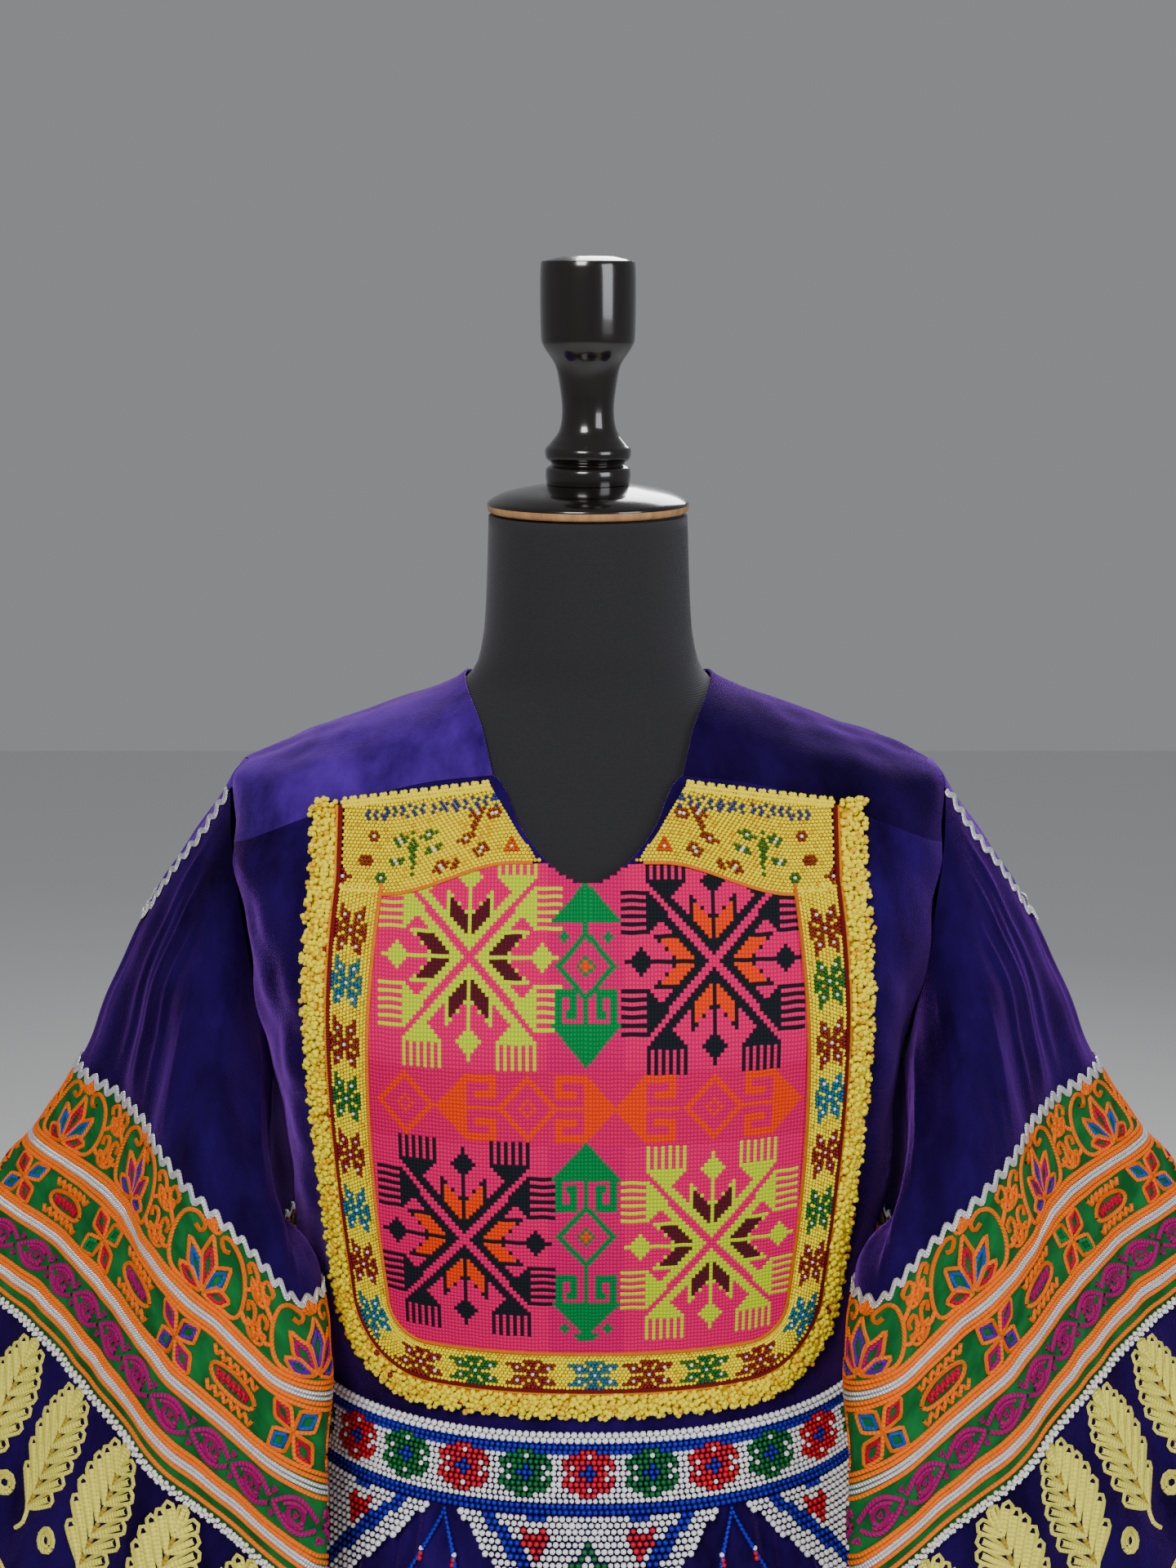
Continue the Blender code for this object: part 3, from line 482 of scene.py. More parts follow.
def sleeve_base(angle, distance):
    angle, distance = np.broadcast_arrays(np.asarray(angle, float), np.asarray(distance, float))
    angle = wrapped(angle)
    apart = 0.0004 + 0.0016 * np.maximum(np.cos(np.radians(angle)), 0.0)
    seam = armhole_point(angle) + apart[..., None] * np.array((1.0, 0.0, 0.0))
    places = [0.0] + [ring[0] for ring in SLEEVE_RINGS]
    values = np.stack([seam] + [section_point(ring[1], angle) for ring in SLEEVE_RINGS])
    hung = smooth_between(places, values, np.broadcast_to(distance[..., None], values.shape[1:]))
    return hung + inner_hang(angle, distance)


def inner_hang(angle, distance):
    """The front of the sleeve's inner side falls straight, close to the body."""
    low = np.clip((distance - BAND_START) / 0.12, 0, 1)
    amount = (0.022 + 0.021 * low) * smooth_step(0.12, BAND_START, distance)
    inward = amount * np.exp(-(((angle - 152 + 14 * low) / (14 + 8 * low)) ** 2))
    return np.stack((-inward, 0 * inward, inward * (0.5 - 0.75 * low)), -1)


def fold_depth(angle, distance):
    grow = smooth_step(0.02, BAND_START - 0.03, distance)
    to_band = smooth_step(BAND_START - 0.02, BAND_START + 0.03, distance)
    to_cuff = smooth_step(BAND_END - 0.02, CUFF_END, distance)
    total = 0.0
    for middle, width, upper, band, cuff in SLEEVE_FOLDS:
        away = wrapped(angle - middle)
        deep = (upper + (band - upper) * to_band) * grow
        deep = deep + (cuff - deep) * to_cuff
        total = total + deep * np.exp(-((away / width) ** 2))
    return total


def sleeve_normal(angle, distance):
    turn, step = 2.0, 0.004
    low = np.maximum(distance - step, 0.0)
    round_it = sleeve_base(angle + turn, distance) - sleeve_base(angle - turn, distance)
    down_it = sleeve_base(angle, distance + step) - sleeve_base(angle, low)
    return unit(np.cross(round_it, down_it))


def sleeve_out(angle, distance, side):
    return mirror(sleeve_normal(angle, distance), side)


def cap_reach(angle):
    away = np.abs(wrapped(angle))
    return CAP_LENGTH * np.maximum(1 - (away / CAP_ANGLE) ** 2, 0.0)


# Skirt and belt

def fold_share(angle):
    uneven = 0.78 + 0.14 * np.cos(4 * angle) + 0.08 * np.cos(10 * angle)
    return uneven * np.cos(SKIRT_FOLDS * angle)


def belt_place(height, angle, lift):
    height, angle = np.broadcast_arrays(np.asarray(height, float), np.asarray(angle, float))
    low = ring_point(SKIRT_ROWS, height, angle)
    high = ring_point(BODY_ROWS, height, angle)
    on_skirt = (height < WAIST_HEIGHT)[..., None]
    point = np.where(on_skirt, low, high)
    normal = np.where(on_skirt, ring_normal(SKIRT_ROWS, low), ring_normal(BODY_ROWS, high))
    return raised(point, lift + column(SKIRT_ROWS, height, 5), normal)


# Making pieces

WELD = 0.00001


def shade(red, green, blue):
    """A colour from its usual 0 to 255 values."""
    values = np.array((red, green, blue)) / 255
    return tuple(np.where(values <= 0.04045, values / 12.92, ((values + 0.055) / 1.055) ** 2.4))


def finish_piece(name, mesh, material, replaces=()):
    mesh.materials.append(material)
    mesh.shade_smooth()
    piece = bpy.data.objects.new(name, mesh)
    bpy.context.scene.collection.objects.link(piece)
    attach(piece, "root")
    if replaces:
        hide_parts(*replaces)
    return piece


def add_places(mesh, places, corners):
    """A UV map in metres along the cloth."""
    layer = mesh.uv_layers.new(name="cloth")
    layer.data.foreach_set("uv", places.reshape(-1, 2)[corners].astype(np.float32).ravel())


def add_tint(mesh, tints, domain):
    """A colour for each point or each corner."""
    made = mesh.color_attributes.new(name="tint", type="FLOAT_COLOR", domain=domain)
    full = np.concatenate((tints, np.ones((len(tints), 1))), axis=1)
    made.data.foreach_set("color", full.astype(np.float32).ravel())


def grid_work(rows, columns):
    """A flat grid with this many rows and columns of points."""
    work = bmesh.new()
    bmesh.ops.create_grid(work, x_segments=columns - 1, y_segments=rows - 1, size=1)
    return work


def mesh_of(name, work):
    mesh = bpy.data.meshes.new(name)
    work.to_mesh(mesh)
    work.free()
    return mesh


def grid_mesh(name, points, places=None, closed=False, tints=None, keep=None):
    """A mesh grid whose vertices go to the given points."""
    mesh = mesh_of(name, grid_work(*points.shape[:2]))
    mesh.vertices.foreach_set("co", points.astype(np.float32).ravel())
    corners = np.zeros(len(mesh.loops), np.int32)
    mesh.loops.foreach_get("vertex_index", corners)
    add_places(mesh, cloth_places(points) if places is None else places, corners)
    if tints is not None:
        add_tint(mesh, np.repeat(tints.reshape(-1, 3), 4, axis=0), "CORNER")
    if closed or keep is not None:
        work = bmesh.new()
        work.from_mesh(mesh)
        if keep is not None:
            spare = [face for face, kept in zip(work.faces, keep.ravel()) if not kept]
            bmesh.ops.delete(work, geom=spare, context="FACES")
        if closed:
            bmesh.ops.remove_doubles(work, verts=work.verts, dist=WELD)
        work.to_mesh(mesh)
        work.free()
    mesh.update()
    return mesh


def cloth_places(points):
    """How far each point is along its row and down its column, in metres."""
    across = np.cumsum(np.linalg.norm(np.diff(points, axis=1), axis=-1), axis=1)
    down = np.cumsum(np.linalg.norm(np.diff(points, axis=0), axis=-1), axis=0)
    across = np.concatenate((np.zeros((len(points), 1)), across), axis=1)
    across -= across.mean(axis=1, keepdims=True)
    down = np.concatenate((np.zeros((1, points.shape[1])), down), axis=0)
    return np.stack((across, down), -1)


def cut_of(points):
    """Width, length and area of the flat cloth that a grid of points is."""
    across = np.linalg.norm(np.diff(points, axis=1), axis=-1)
    down = np.linalg.norm(np.diff(points, axis=0), axis=-1)
    first = np.cross(points[1:, :-1] - points[:-1, :-1], points[:-1, 1:] - points[:-1, :-1])
    second = np.cross(points[1:, :-1] - points[1:, 1:], points[:-1, 1:] - points[1:, 1:])
    area = (np.linalg.norm(first, axis=-1).sum() + np.linalg.norm(second, axis=-1).sum()) / 2
    width, length = float(across.sum(axis=1).max()), float(down.sum(axis=0).max())
    return (round(width, 3), round(length, 3)), round(min(float(area), width * length), 4)


def cloth_piece(cloth, solid, points, material, closed=False, flat=None):
    """A sheet that takes a solid's place, named after its cloth and the solid."""
    name = f"{cloth}_{solid}"
    piece = finish_piece(name, grid_mesh(name, points, closed=closed), material, (solid,))
    measured, area = cut_of(points)
    flat = flat or measured


def bead_template():
    work = bmesh.new()
    bmesh.ops.create_icosphere(work, subdivisions=1, radius=1.0)
    points = np.array([vert.co[:] for vert in work.verts])
    faces = np.array([[vert.index for vert in face.verts] for face in work.faces])
    work.free()
    return points, faces


BEAD_POINTS, BEAD_FACES = bead_template()


def bead_piece(name, centres, radii, colours, replaces=()):
    """Many small beads as one joined mesh, each turned its own way."""
    centres = np.asarray(centres, float)
    count = len(centres)
    radii = np.broadcast_to(np.asarray(radii, float), (count,))
    turns = chance.normal(size=(count, 4))
    w, x, y, z = (turns / np.linalg.norm(turns, axis=1, keepdims=True)).T
    spin = np.array((
        (1 - 2 * (y * y + z * z), 2 * (x * y - w * z), 2 * (x * z + w * y)),
        (2 * (x * y + w * z), 1 - 2 * (x * x + z * z), 2 * (y * z - w * x)),
        (2 * (x * z - w * y), 2 * (y * z + w * x), 1 - 2 * (x * x + y * y)),
    )).transpose(2, 0, 1)
    corners = centres[:, None, :] + radii[:, None, None] * np.einsum("nij,kj->nki", spin, BEAD_POINTS)
    faces = (BEAD_FACES[None] + np.arange(count)[:, None, None] * len(BEAD_POINTS)).reshape(-1, 3)
    tints = np.repeat(np.asarray(colours, float), len(BEAD_POINTS), axis=0)
    mesh = joined_mesh(name, corners.reshape(-1, 3), faces, tints)
    finish_piece(name, mesh, BEADS, replaces)


GRID_FACES = {}


def grid_faces(rows, columns):
    """The faces of a mesh grid of this many rows and columns of points."""
    if (rows, columns) not in GRID_FACES:
        work = grid_work(rows, columns)
        GRID_FACES[rows, columns] = np.array([[vert.index for vert in face.verts] for face in work.faces])
        work.free()
    return GRID_FACES[rows, columns]


def joined_mesh(name, corners, faces, tints):
    """One mesh from many small ones: all their points, their faces and a tint for each point."""
    mesh = bpy.data.meshes.new(name)
    sides = faces.shape[1]
    mesh.vertices.add(len(corners))
    mesh.vertices.foreach_set("co", corners.astype(np.float32).ravel())
    mesh.loops.add(faces.size)
    mesh.loops.foreach_set("vertex_index", faces.astype(np.int32).ravel())
    mesh.polygons.add(len(faces))
    mesh.polygons.foreach_set("loop_start", np.arange(0, faces.size, sides, dtype=np.int32))
    mesh.update(calc_edges=True)
    add_tint(mesh, tints, "POINT")
    return mesh


def strip_piece(name, strips, material, replaces=()):
    """Many narrow strips as one joined mesh: each is (its points as rows by columns, its colour)."""
    points, tints, places, faces = [], [], [], []
    first = 0
    for grid, tint in strips:
        rows, columns = grid.shape[:2]
        faces.append(grid_faces(rows, columns) + first)
        first += rows * columns
        points.append(grid.reshape(-1, 3))
        tints.append(np.tile(np.asarray(tint, float), (rows * columns, 1)))
        places.append(cloth_places(grid).reshape(-1, 2))
    faces = np.concatenate(faces)
    mesh = joined_mesh(name, np.concatenate(points), faces, np.concatenate(tints))
    add_places(mesh, np.concatenate(places), faces.ravel())
    finish_piece(name, mesh, material, replaces)


# Materials

WAVE_SCALE = 0.314159   # a wave texture's scale times the length of one wave


def feed(material, socket, value):
    """Join a socket to another node's output, or give it a value."""
    if isinstance(value, bpy.types.NodeSocket):
        material.node_tree.links.new(value, socket)
    else:
        socket.default_value = value


def node(material, kind, settings=None, **inputs):
    made = material.node_tree.nodes.new("ShaderNode" + kind)
    for key, value in (settings or {}).items():
        setattr(made, key, value)
    for key, value in inputs.items():
        feed(material, made.inputs[key.replace("_", " ")], value)
    return made


def new_material(name, colour, roughness, **values):
    made = bpy.data.materials.new(name)
    made.use_nodes = True
    shader = made.node_tree.nodes["Principled BSDF"]
    shader.inputs["Base Color"].default_value = (*colour, 1.0)
    shader.inputs["Roughness"].default_value = roughness
    for key, value in values.items():
        shader.inputs[key.replace("_", " ")].default_value = value
    return made, shader


def place_on(material, kind):
    """Object places are in metres, and UV places in metres along the cloth."""
    return node(material, "TexCoord").outputs[kind]


def stretched(material, place, scale):
    return node(material, "Mapping", Vector=place, Scale=scale).outputs["Vector"]


def noise(material, place, scale, detail, **values):
    return node(material, "TexNoise", Vector=place, Scale=scale, Detail=detail, **values).outputs["Fac"]


def waves(material, place, way, scale, **values):
    made = node(material, "TexWave", {"bands_direction": way}, Vector=place, Scale=scale, **values)
    return made.outputs["Fac"]


def worked_out(material, operation, *values):
    made = node(material, "Math", {"operation": operation})
    for socket, value in zip(made.inputs, values):
        feed(material, socket, value)
    return made.outputs["Value"]


def two_tone(material, share, dark, light):
    return node(material, "MixRGB", Fac=share, Color1=(*dark, 1.0), Color2=(*light, 1.0)).outputs["Color"]


def spread(material, share, low, high):
    """A noise value stretched so that low becomes 0 and high becomes 1."""
    return node(material, "MapRange", Value=share, From_Min=low, From_Max=high).outputs["Result"]


def tint_colour(material, share, dark, amount):
    """The piece's tint, darker where share is low."""
    tint = node(material, "VertexColor", {"layer_name": "tint"}).outputs["Color"]
    mixed = node(material, "MixRGB", {"blend_type": "MULTIPLY"}, Fac=amount, Color1=tint,
                 Color2=two_tone(material, share, dark, (1.0, 1.0, 1.0)))
    return mixed.outputs["Color"]


def dye(material, shader, colour):
    feed(material, shader.inputs["Base Color"], colour)


def bump(material, shader, height, strength, depth):
    made = node(material, "Bump", Strength=strength, Distance=depth, Height=height)
    feed(material, shader.inputs["Normal"], made.outputs["Normal"])


def velvet(name, deep, bright, sheen):
    made, shader = new_material(name, deep, 0.85, Sheen_Weight=0.7, Sheen_Roughness=0.32,
                                Sheen_Tint=(*sheen, 1.0), Specular_IOR_Level=0.05)
    place = place_on(made, "Object")
    brushed = noise(made, stretched(made, place, (1.0, 1.0, 0.35)), 26.0, 5.0, Roughness=0.62)
    pile = noise(made, place, 1500.0, 1.0)
    dye(made, shader, two_tone(made, spread(made, brushed, 0.32, 0.72), deep, bright))
    bump(made, shader, worked_out(made, "MULTIPLY_ADD", brushed, 0.6, pile), 0.6, 0.0009)
    return made


def tinted(name, roughness, period=0.0, depth=0.0004, **values):
    """Takes its colour from the piece's tint. period is the length of one stitch along a strip."""
    made, shader = new_material(name, (0.5, 0.5, 0.5), roughness, **values)
    patch = noise(made, place_on(made, "Object"), 420.0, 2.0)
    dye(made, shader, tint_colour(made, spread(made, patch, 0.3, 0.7), (0.35, 0.35, 0.35), 0.28))
    if period:
        bump(made, shader, waves(made, place_on(made, "UV"), "Y", WAVE_SCALE / period), 0.8, depth)
    return made


def counted_stitches(name):
    """Each cell of the chart is one stitch, with painted shade darkening its edges, and the ground between
    the motifs is ribbed.
    """
    made, shader = new_material(name, (0.5, 0.0, 0.1), 0.8, Specular_IOR_Level=0.08)
    place = place_on(made, "UV")
    across = waves(made, place, "X", WAVE_SCALE / CELL_WIDTH)
    down = waves(made, place, "Y", WAVE_SCALE / CELL_HEIGHT)
    height = worked_out(made, "POWER", worked_out(made, "MULTIPLY", across, down), 0.4)
    twist = noise(made, place, 2400.0, 2.0)
    # The tint is darkened where height is low, at each cell's edges: painted shade between the stitches. The
    # same height raises the bump.
    dye(made, shader, tint_colour(made, height, (0.30, 0.26, 0.30), 0.55))
    bump(made, shader, worked_out(made, "MULTIPLY_ADD", twist, 0.25, height), 0.7, 0.0006)
    return made


def plain_weave(name, dark, light, pitch, roughness):
    made, shader = new_material(name, dark, roughness, Specular_IOR_Level=0.15)
    place = place_on(made, "UV")
    warp, weft = (waves(made, place, way, WAVE_SCALE / pitch, Distortion=0.6) for way in "XY")
    dye(made, shader, two_tone(made, spread(made, noise(made, place, 60.0, 3.0), 0.35, 0.68), dark, light))
    bump(made, shader, worked_out(made, "MULTIPLY", warp, weft), 0.35, 0.0003)
    return made


def knitted(name):
    made, shader = new_material(name, (0.006, 0.006, 0.008), 0.92, Sheen_Weight=0.3, Sheen_Roughness=0.5,
                                Sheen_Tint=(0.5, 0.5, 0.55, 1.0))
    place = place_on(made, "Object")
    fuzz = noise(made, place, 700.0, 3.0)
    dye(made, shader, two_tone(made, fuzz, (0.004, 0.004, 0.006), (0.012, 0.012, 0.015)))
    bump(made, shader, waves(made, place, "Z", 300.0, Distortion=1.5), 0.4, 0.0004)
    return made


def lacquered_wood(name, dark, light, roughness, coat):
    made, shader = new_material(name, dark, roughness, Coat_Weight=coat, Coat_Roughness=0.05)
    grain_way = stretched(made, place_on(made, "Object"), (1.0, 1.0, 0.12))
    grain = noise(made, grain_way, 160.0, 6.0, Roughness=0.65)
    dye(made, shader, two_tone(made, spread(made, grain, 0.3, 0.7), dark, light))
    bump(made, shader, grain, 0.12, 0.0003)
    return made


def satin_steel(name):
    made, shader = new_material(name, (0.020, 0.020, 0.022), 0.35, Metallic=0.6)
    worn = noise(made, place_on(made, "Object"), 90.0, 4.0)
    feed(made, shader.inputs["Roughness"], spread(made, worn, -1.2, 2.2))
    return made


# Cloth shapes that most pieces share

def rumple(points, size, seed):
    """Soft uneven waves, between about -1 and 1, about as long as size."""
    pick = np.random.default_rng(seed)
    total = 0.0
    for _ in range(7):
        way = pick.normal(size=3)
        way = way / np.linalg.norm(way) * (2 * math.pi / size) * pick.uniform(0.6, 1.5)
        total = total + np.sin(points @ way + pick.uniform(0, 6.28))
    return total / 3.2


def surface_normal(points):
    """Outward normals of a grid of points."""
    return unit(np.cross(np.gradient(points, axis=1), np.gradient(points, axis=0)))


def turned_edge(points, out, thickness=VELVET_THICK, depth=0.012):
    """Add a rolled edge after the last row, and a strip turned back inside."""
    onward = unit(points[-1] - points[-2])
    middle = points[-1] + onward * thickness / 2 - out[-1] * thickness / 2
    under = points[-1] - out[-1] * thickness
    inside = under - onward * depth - out[-1] * 0.0004
    outer = points[-1] + onward * thickness * 0.3 - out[-1] * thickness * 0.1
    return np.concatenate((points, np.stack((outer, middle, under, inside))))


def facing(points, side):
    """Turn a sleeve grid so that its outer face is the front of the sheet."""
    return points if side > 0 else points[:, ::-1]


# Velvet

# INDIGO is the velvet's own colour. The three copies after it are the same velvet with light or shade painted
# into their colours.
INDIGO = velvet("indigo velvet", shade(10, 0, 36), shade(38, 6, 96), (0.42, 0.12, 0.88))
# A lighter copy with painted light, for the right yoke and the sleeve caps, where the reversed nap catches
# the light.
INDIGO_PAINTED_LIGHT = velvet("indigo velvet, painted light", shade(34, 8, 84), shade(82, 38, 156), (0.54, 0.22, 1.0))
# A darker copy with painted shade, for the sleeves' velvet tiers.
INDIGO_SLEEVE_PAINTED_SHADE = velvet("indigo velvet, sleeve, painted shade", shade(9, 0, 32), shade(30, 4, 80), (0.34, 0.08, 0.74))
# A darker copy with painted shade, for the left yoke, where the reversed nap turns from the light.
INDIGO_PAINTED_SHADE = velvet("indigo velvet, painted shade", shade(7, 0, 28), shade(26, 4, 68), (0.26, 0.06, 0.62))
GREEN = plain_weave("green cotton", shade(8, 78, 32), shade(26, 110, 50), 0.0007, 0.85)
JERSEY = knitted("black jersey")
LACQUER = lacquered_wood("lacquered wood", shade(8, 5, 4), shade(22, 11, 8), 0.2, 0.6)
BARE_WOOD = lacquered_wood("bare wood", shade(150, 104, 62), shade(196, 148, 98), 0.5, 0.0)
STAINED_WOOD = lacquered_wood("stained wood", shade(38, 24, 18), shade(66, 42, 30), 0.35, 0.3)
STEEL = satin_steel("black steel")


def bodice(back):
    grid = finer(bodice_grid(back), *((56, 92) if back else (80, 124)))
    grid = onto_rings(BODY_ROWS, grid[:, ::-1] if back else grid)
    out = ring_normal(BODY_ROWS, grid)
    x, y, z = np.moveaxis(grid, -1, 0)
    beside = smooth_step(-0.01, 0.02, np.abs(x)) if back else smooth_step(0.142, 0.164, np.abs(x))
    free = smooth_step(0.950, 0.985, z) * beside
    near_seam = smooth_step(0.0, 0.012, grid[-1:, :, 2] - z)
    fold = np.cos((np.abs(x) - 0.158) / 0.019 * math.pi + 1.4 * rumple(grid, 0.40, 5))
    gather = np.cos(np.arctan2(x, -y) * 46 + 2 * rumple(grid, 0.3, 8))
    high = 0.0024 * fold * smooth_step(1.24, 1.12, z) + 0.0014 * gather * smooth_step(1.10, 0.955, z)
    high = high + 0.0017 * rumple(grid, 0.075, 21) + 0.0010 * rumple(grid, 0.030, 22)
    pressed = 0.0004 * (1 - free)
    grid = raised(raised(grid, high * free * near_seam, out), -pressed, out)
    solid = "bodice_back" if back else "bodice_front"
    cloth_piece("velvet", solid, turned_edge(grid, out), INDIGO)


def yoke(side):
    rows, columns, edge_steps = 44, 72, 6
    grid = onto_rings(BODY_ROWS, finer(yoke_grid(), rows, columns))
    out = ring_normal(BODY_ROWS, grid)
    down, along = np.arange(rows)[:, None], np.arange(columns)
    edge = np.minimum(down / edge_steps, 1) * np.minimum(np.minimum(along, along[::-1]) / edge_steps, 1)
    high = 0.0009 * rumple(grid, 0.06, 31 + (side > 0)) + 0.0006 * rumple(grid, 0.025, 33)
    grid, out = (facing(mirror(made, side), -side)[::-1] for made in (raised(grid, high * edge, out), out))
    # Lit and shaded copies of the same velvet: painted shade on the left yoke, painted light on the right
    # one.
    velvet_painted_light_or_shade = INDIGO_PAINTED_SHADE if side > 0 else INDIGO_PAINTED_LIGHT
    cloth_piece("velvet", f"shoulder_yoke_{HANDS[side]}", turned_edge(grid, out)[::-1], velvet_painted_light_or_shade)


def skirt_cloth(height, angle):
    """The skirt's folds wander a little, and small gathers fade below the waist."""
    base = ring_point(SKIRT_ROWS, height, angle)
    low = smooth_step(0.86, 0.30, height)
    drift = (0.030 * np.sin(3 * angle + 0.8) + 0.018 * np.sin(7 * angle + 2.0)) * low
    drift = drift + 0.012 * np.sin(5 * height / 0.3 + 4 * angle) * low
    share = fold_share(angle + drift)
    sharp = share + 0.16 * (1 - share**2) * np.sin(2 * SKIRT_FOLDS * (angle + drift) + 1.0)
    gathers = 0.0010 * np.cos(78 * angle + 2 * np.sin(9 * angle)) * smooth_step(0.74, 0.84, height)
    gathers = gathers * smooth_step(0.930, 0.885, height)
    small = 0.0022 * rumple(base, 0.13, 41) + 0.0011 * rumple(base, 0.045, 42)
    small = small * smooth_step(0.90, 0.74, height)
    sag = 0.0045 * np.sin(13 * angle + 1.1) * np.sin(17 * (height - HEM_HEIGHT)) * low
    push = column(SKIRT_ROWS, height, 5) * sharp * 0.97 + gathers + small + sag
    return raised(base, push, ring_normal(SKIRT_ROWS, base))


def skirt_gore(number):
    first, last = SKIRT_SEAMS[number - 1], SKIRT_SEAMS[number]
    angles = np.linspace(first, last, (last - first) * 5 + 1) * 2 * math.pi / SKIRT_COLUMNS - math.pi / 2
    heights = WAIST_HEIGHT - (WAIST_HEIGHT - HEM_HEIGHT) * np.linspace(0, 1, 84)**1.12
    grid = skirt_cloth(heights[:, None], angles[None, :])
    out = -surface_normal(grid)
    for seam in (0, -1):
        out[:, seam] = ring_normal(SKIRT_ROWS, grid[:, seam])
    grid = turned_edge(grid, out, 0.0020, 0.020)[::-1]
    cloth_piece("velvet", f"skirt_gore_{number}", grid, INDIGO)


CREASES = [
    # angle, angular width, depth, where it starts, how much it leans
    (float(middle + chance.normal() * 4), float(chance.uniform(1.4, 3.0)),
     float(chance.uniform(0.0007, 0.0021)), float(chance.uniform(0.005, 0.07)),
     float(chance.uniform(-0.05, 0.05)))
    for middle in np.arange(4, 360, 11.0)
]


def crease_depth(angle, distance):
    """Narrow creases that run down the upper tier from the armhole."""
    total = 0.0
    fade = smooth_step(0.0, 0.03, distance) * smooth_step(BAND_START, BAND_START - 0.035, distance)
    for middle, width, deep, start, lean in CREASES:
        away = wrapped(angle - middle - lean * 400 * (distance - 0.1))
        total = total + deep * np.exp(-((away / width) ** 2)) * smooth_step(start, start + 0.04, distance)
    return total * fade


def sleeve_cloth(angle, distance, side, lift=0.0):
    """Points on one sleeve's cloth, with its folds, creases and soft unevenness."""
    base = sleeve_base(angle, distance)
    high = fold_depth(angle, distance) + lift
    uneven = 0.0013 * rumple(base, 0.07, 51) + 0.0007 * rumple(base, 0.028, 52)
    high = high + uneven * smooth_step(0.01, 0.06, distance) + crease_depth(angle, distance)
    return mirror(raised(base, high, sleeve_normal(angle, distance)), side)


def sleeve_crescent(side):
    """The small cap at the shoulder point, with a seam allowance turned under the yoke."""
    angles = np.linspace(-CAP_ANGLE + 1.5, CAP_ANGLE - 1.5, 45)
    grid = sleeve_cloth(angles[None, :], cap_reach(angles) * np.linspace(0, 1, 34)[:, None], side)
    width = round(float(lengths_along(grid[0])[-1]), 3)
    allowance = grid[0] - 0.0030 * sleeve_out(angles, 0 * angles, side) - np.array((0.0045 * side, 0, 0))
    grid = facing(np.concatenate((allowance[None], grid))[::-1], side)
    # The cap takes the lighter copy of the velvet, with painted light in its colour.
    cloth_piece("velvet", f"sleeve_cap_{HANDS[side]}", grid, INDIGO_PAINTED_LIGHT,
                flat=(width, 0.130))


def sleeve_tiers(side):
    """The sleeve's three tiers, each the whole way round from its upper seam to its lower one."""
    hand = HANDS[side]
    many, fewer = np.linspace(0, 360, 241), np.linspace(0, 360, 181)
    low = cap_reach(many)
    upper = low + (BAND_START - low) * np.linspace(0, 1, 44)[:, None]
    band = np.linspace(BAND_START, BAND_END, 24)[:, None] + 0 * many
    lower = np.linspace(BAND_END, CUFF_END - 0.0008, 30)[:, None] + 0 * fewer
    # Both velvet tiers take the darker sleeve copy of the velvet, with painted shade in its colour.
    for cloth, solid, angles, places, material, slot, rests_on in (
        ("velvet", "sleeve_upper", many, upper, INDIGO_SLEEVE_PAINTED_SHADE, "velvet",
         [f"velvet_shoulder_yoke_{hand}", "bodice_front"]),
        ("cotton", "sleeve_band", many, band, GREEN, "green_cotton", [f"velvet_sleeve_upper_{hand}"]),
        ("velvet", "sleeve_lower", fewer, lower, INDIGO_SLEEVE_PAINTED_SHADE, "velvet", [f"cotton_sleeve_band_{hand}"]),
    ):
        grid = sleeve_cloth(angles[None, :], places, side)
        if solid == "sleeve_lower":
            grid = turned_edge(grid, sleeve_out(angles[None, :], places, side))
        cloth_piece(cloth, f"{solid}_{hand}", facing(grid[::-1], side), material,
                    closed=True)


# The dress form

def jersey_form():
    heights = np.concatenate((np.linspace(0.742, 1.20, 20), np.linspace(1.21, 1.446, 44)))
    angles = np.linspace(0, 2 * math.pi, 73)
    grid = ring_point(BODY_ROWS, heights[:, None], angles[None, :])
    x, _, z = np.moveaxis(grid, -1, 0)
    at_waist, at_chest, at_neck, at_shoulder = 0.013, 0.0044, 0.0034, 0.007
    inset = at_waist + (at_chest - at_waist) * smooth_step(1.13, 1.23, z)
    inset = inset + (at_neck - at_chest) * smooth_step(1.335, 1.348, z)
    inset = inset + at_shoulder * smooth_step(0.150, 0.190, np.abs(x)) * smooth_step(1.20, 1.27, z)
    inset = inset * (1 - smooth_step(1.358, 1.376, z))
    grid = raised(grid, -inset, ring_normal(BODY_ROWS, grid))
    ends = [grid[row] * np.array((share, share, 1)) + np.array((0, 0, out)) for row, share, out in (
        (0, 0.0, -0.002), (0, 0.94, -0.002), (-1, 0.86, 0.0008), (-1, 0.0, 0.0008),
    )]
    grid = np.concatenate((np.stack(ends[:2]), grid, np.stack(ends[2:])))
    mesh = grid_mesh("jersey_form", grid, closed=True)
    finish_piece("jersey_form", mesh, JERSEY, ("form_torso",))


def turned_piece(name, profile, count, replaces):
    """Spin a smooth line through (radius, height) points about the stand's axis, in lacquered wood."""
    profile = resample(np.array(profile), count)
    work = bmesh.new()
    verts = [work.verts.new((0, 0, profile[0][1]))]
    verts += [work.verts.new((radius, 0, height)) for radius, height in profile]
    verts.append(work.verts.new((0, 0, profile[-1][1])))
    edges = [work.edges.new(pair) for pair in zip(verts, verts[1:])]
    bmesh.ops.spin(work, geom=verts + edges, cent=(0, 0, 0), axis=(0, 0, 1), angle=2 * math.pi,
                   steps=48, use_merge=True)
    bmesh.ops.remove_doubles(work, verts=work.verts, dist=WELD)
    bmesh.ops.recalc_face_normals(work, faces=work.faces)
    mesh = mesh_of(name, work)
    finish_piece(name, mesh, LACQUER, replaces)
    mesh.set_sharp_from_angle(angle=math.radians(42))
    return mesh


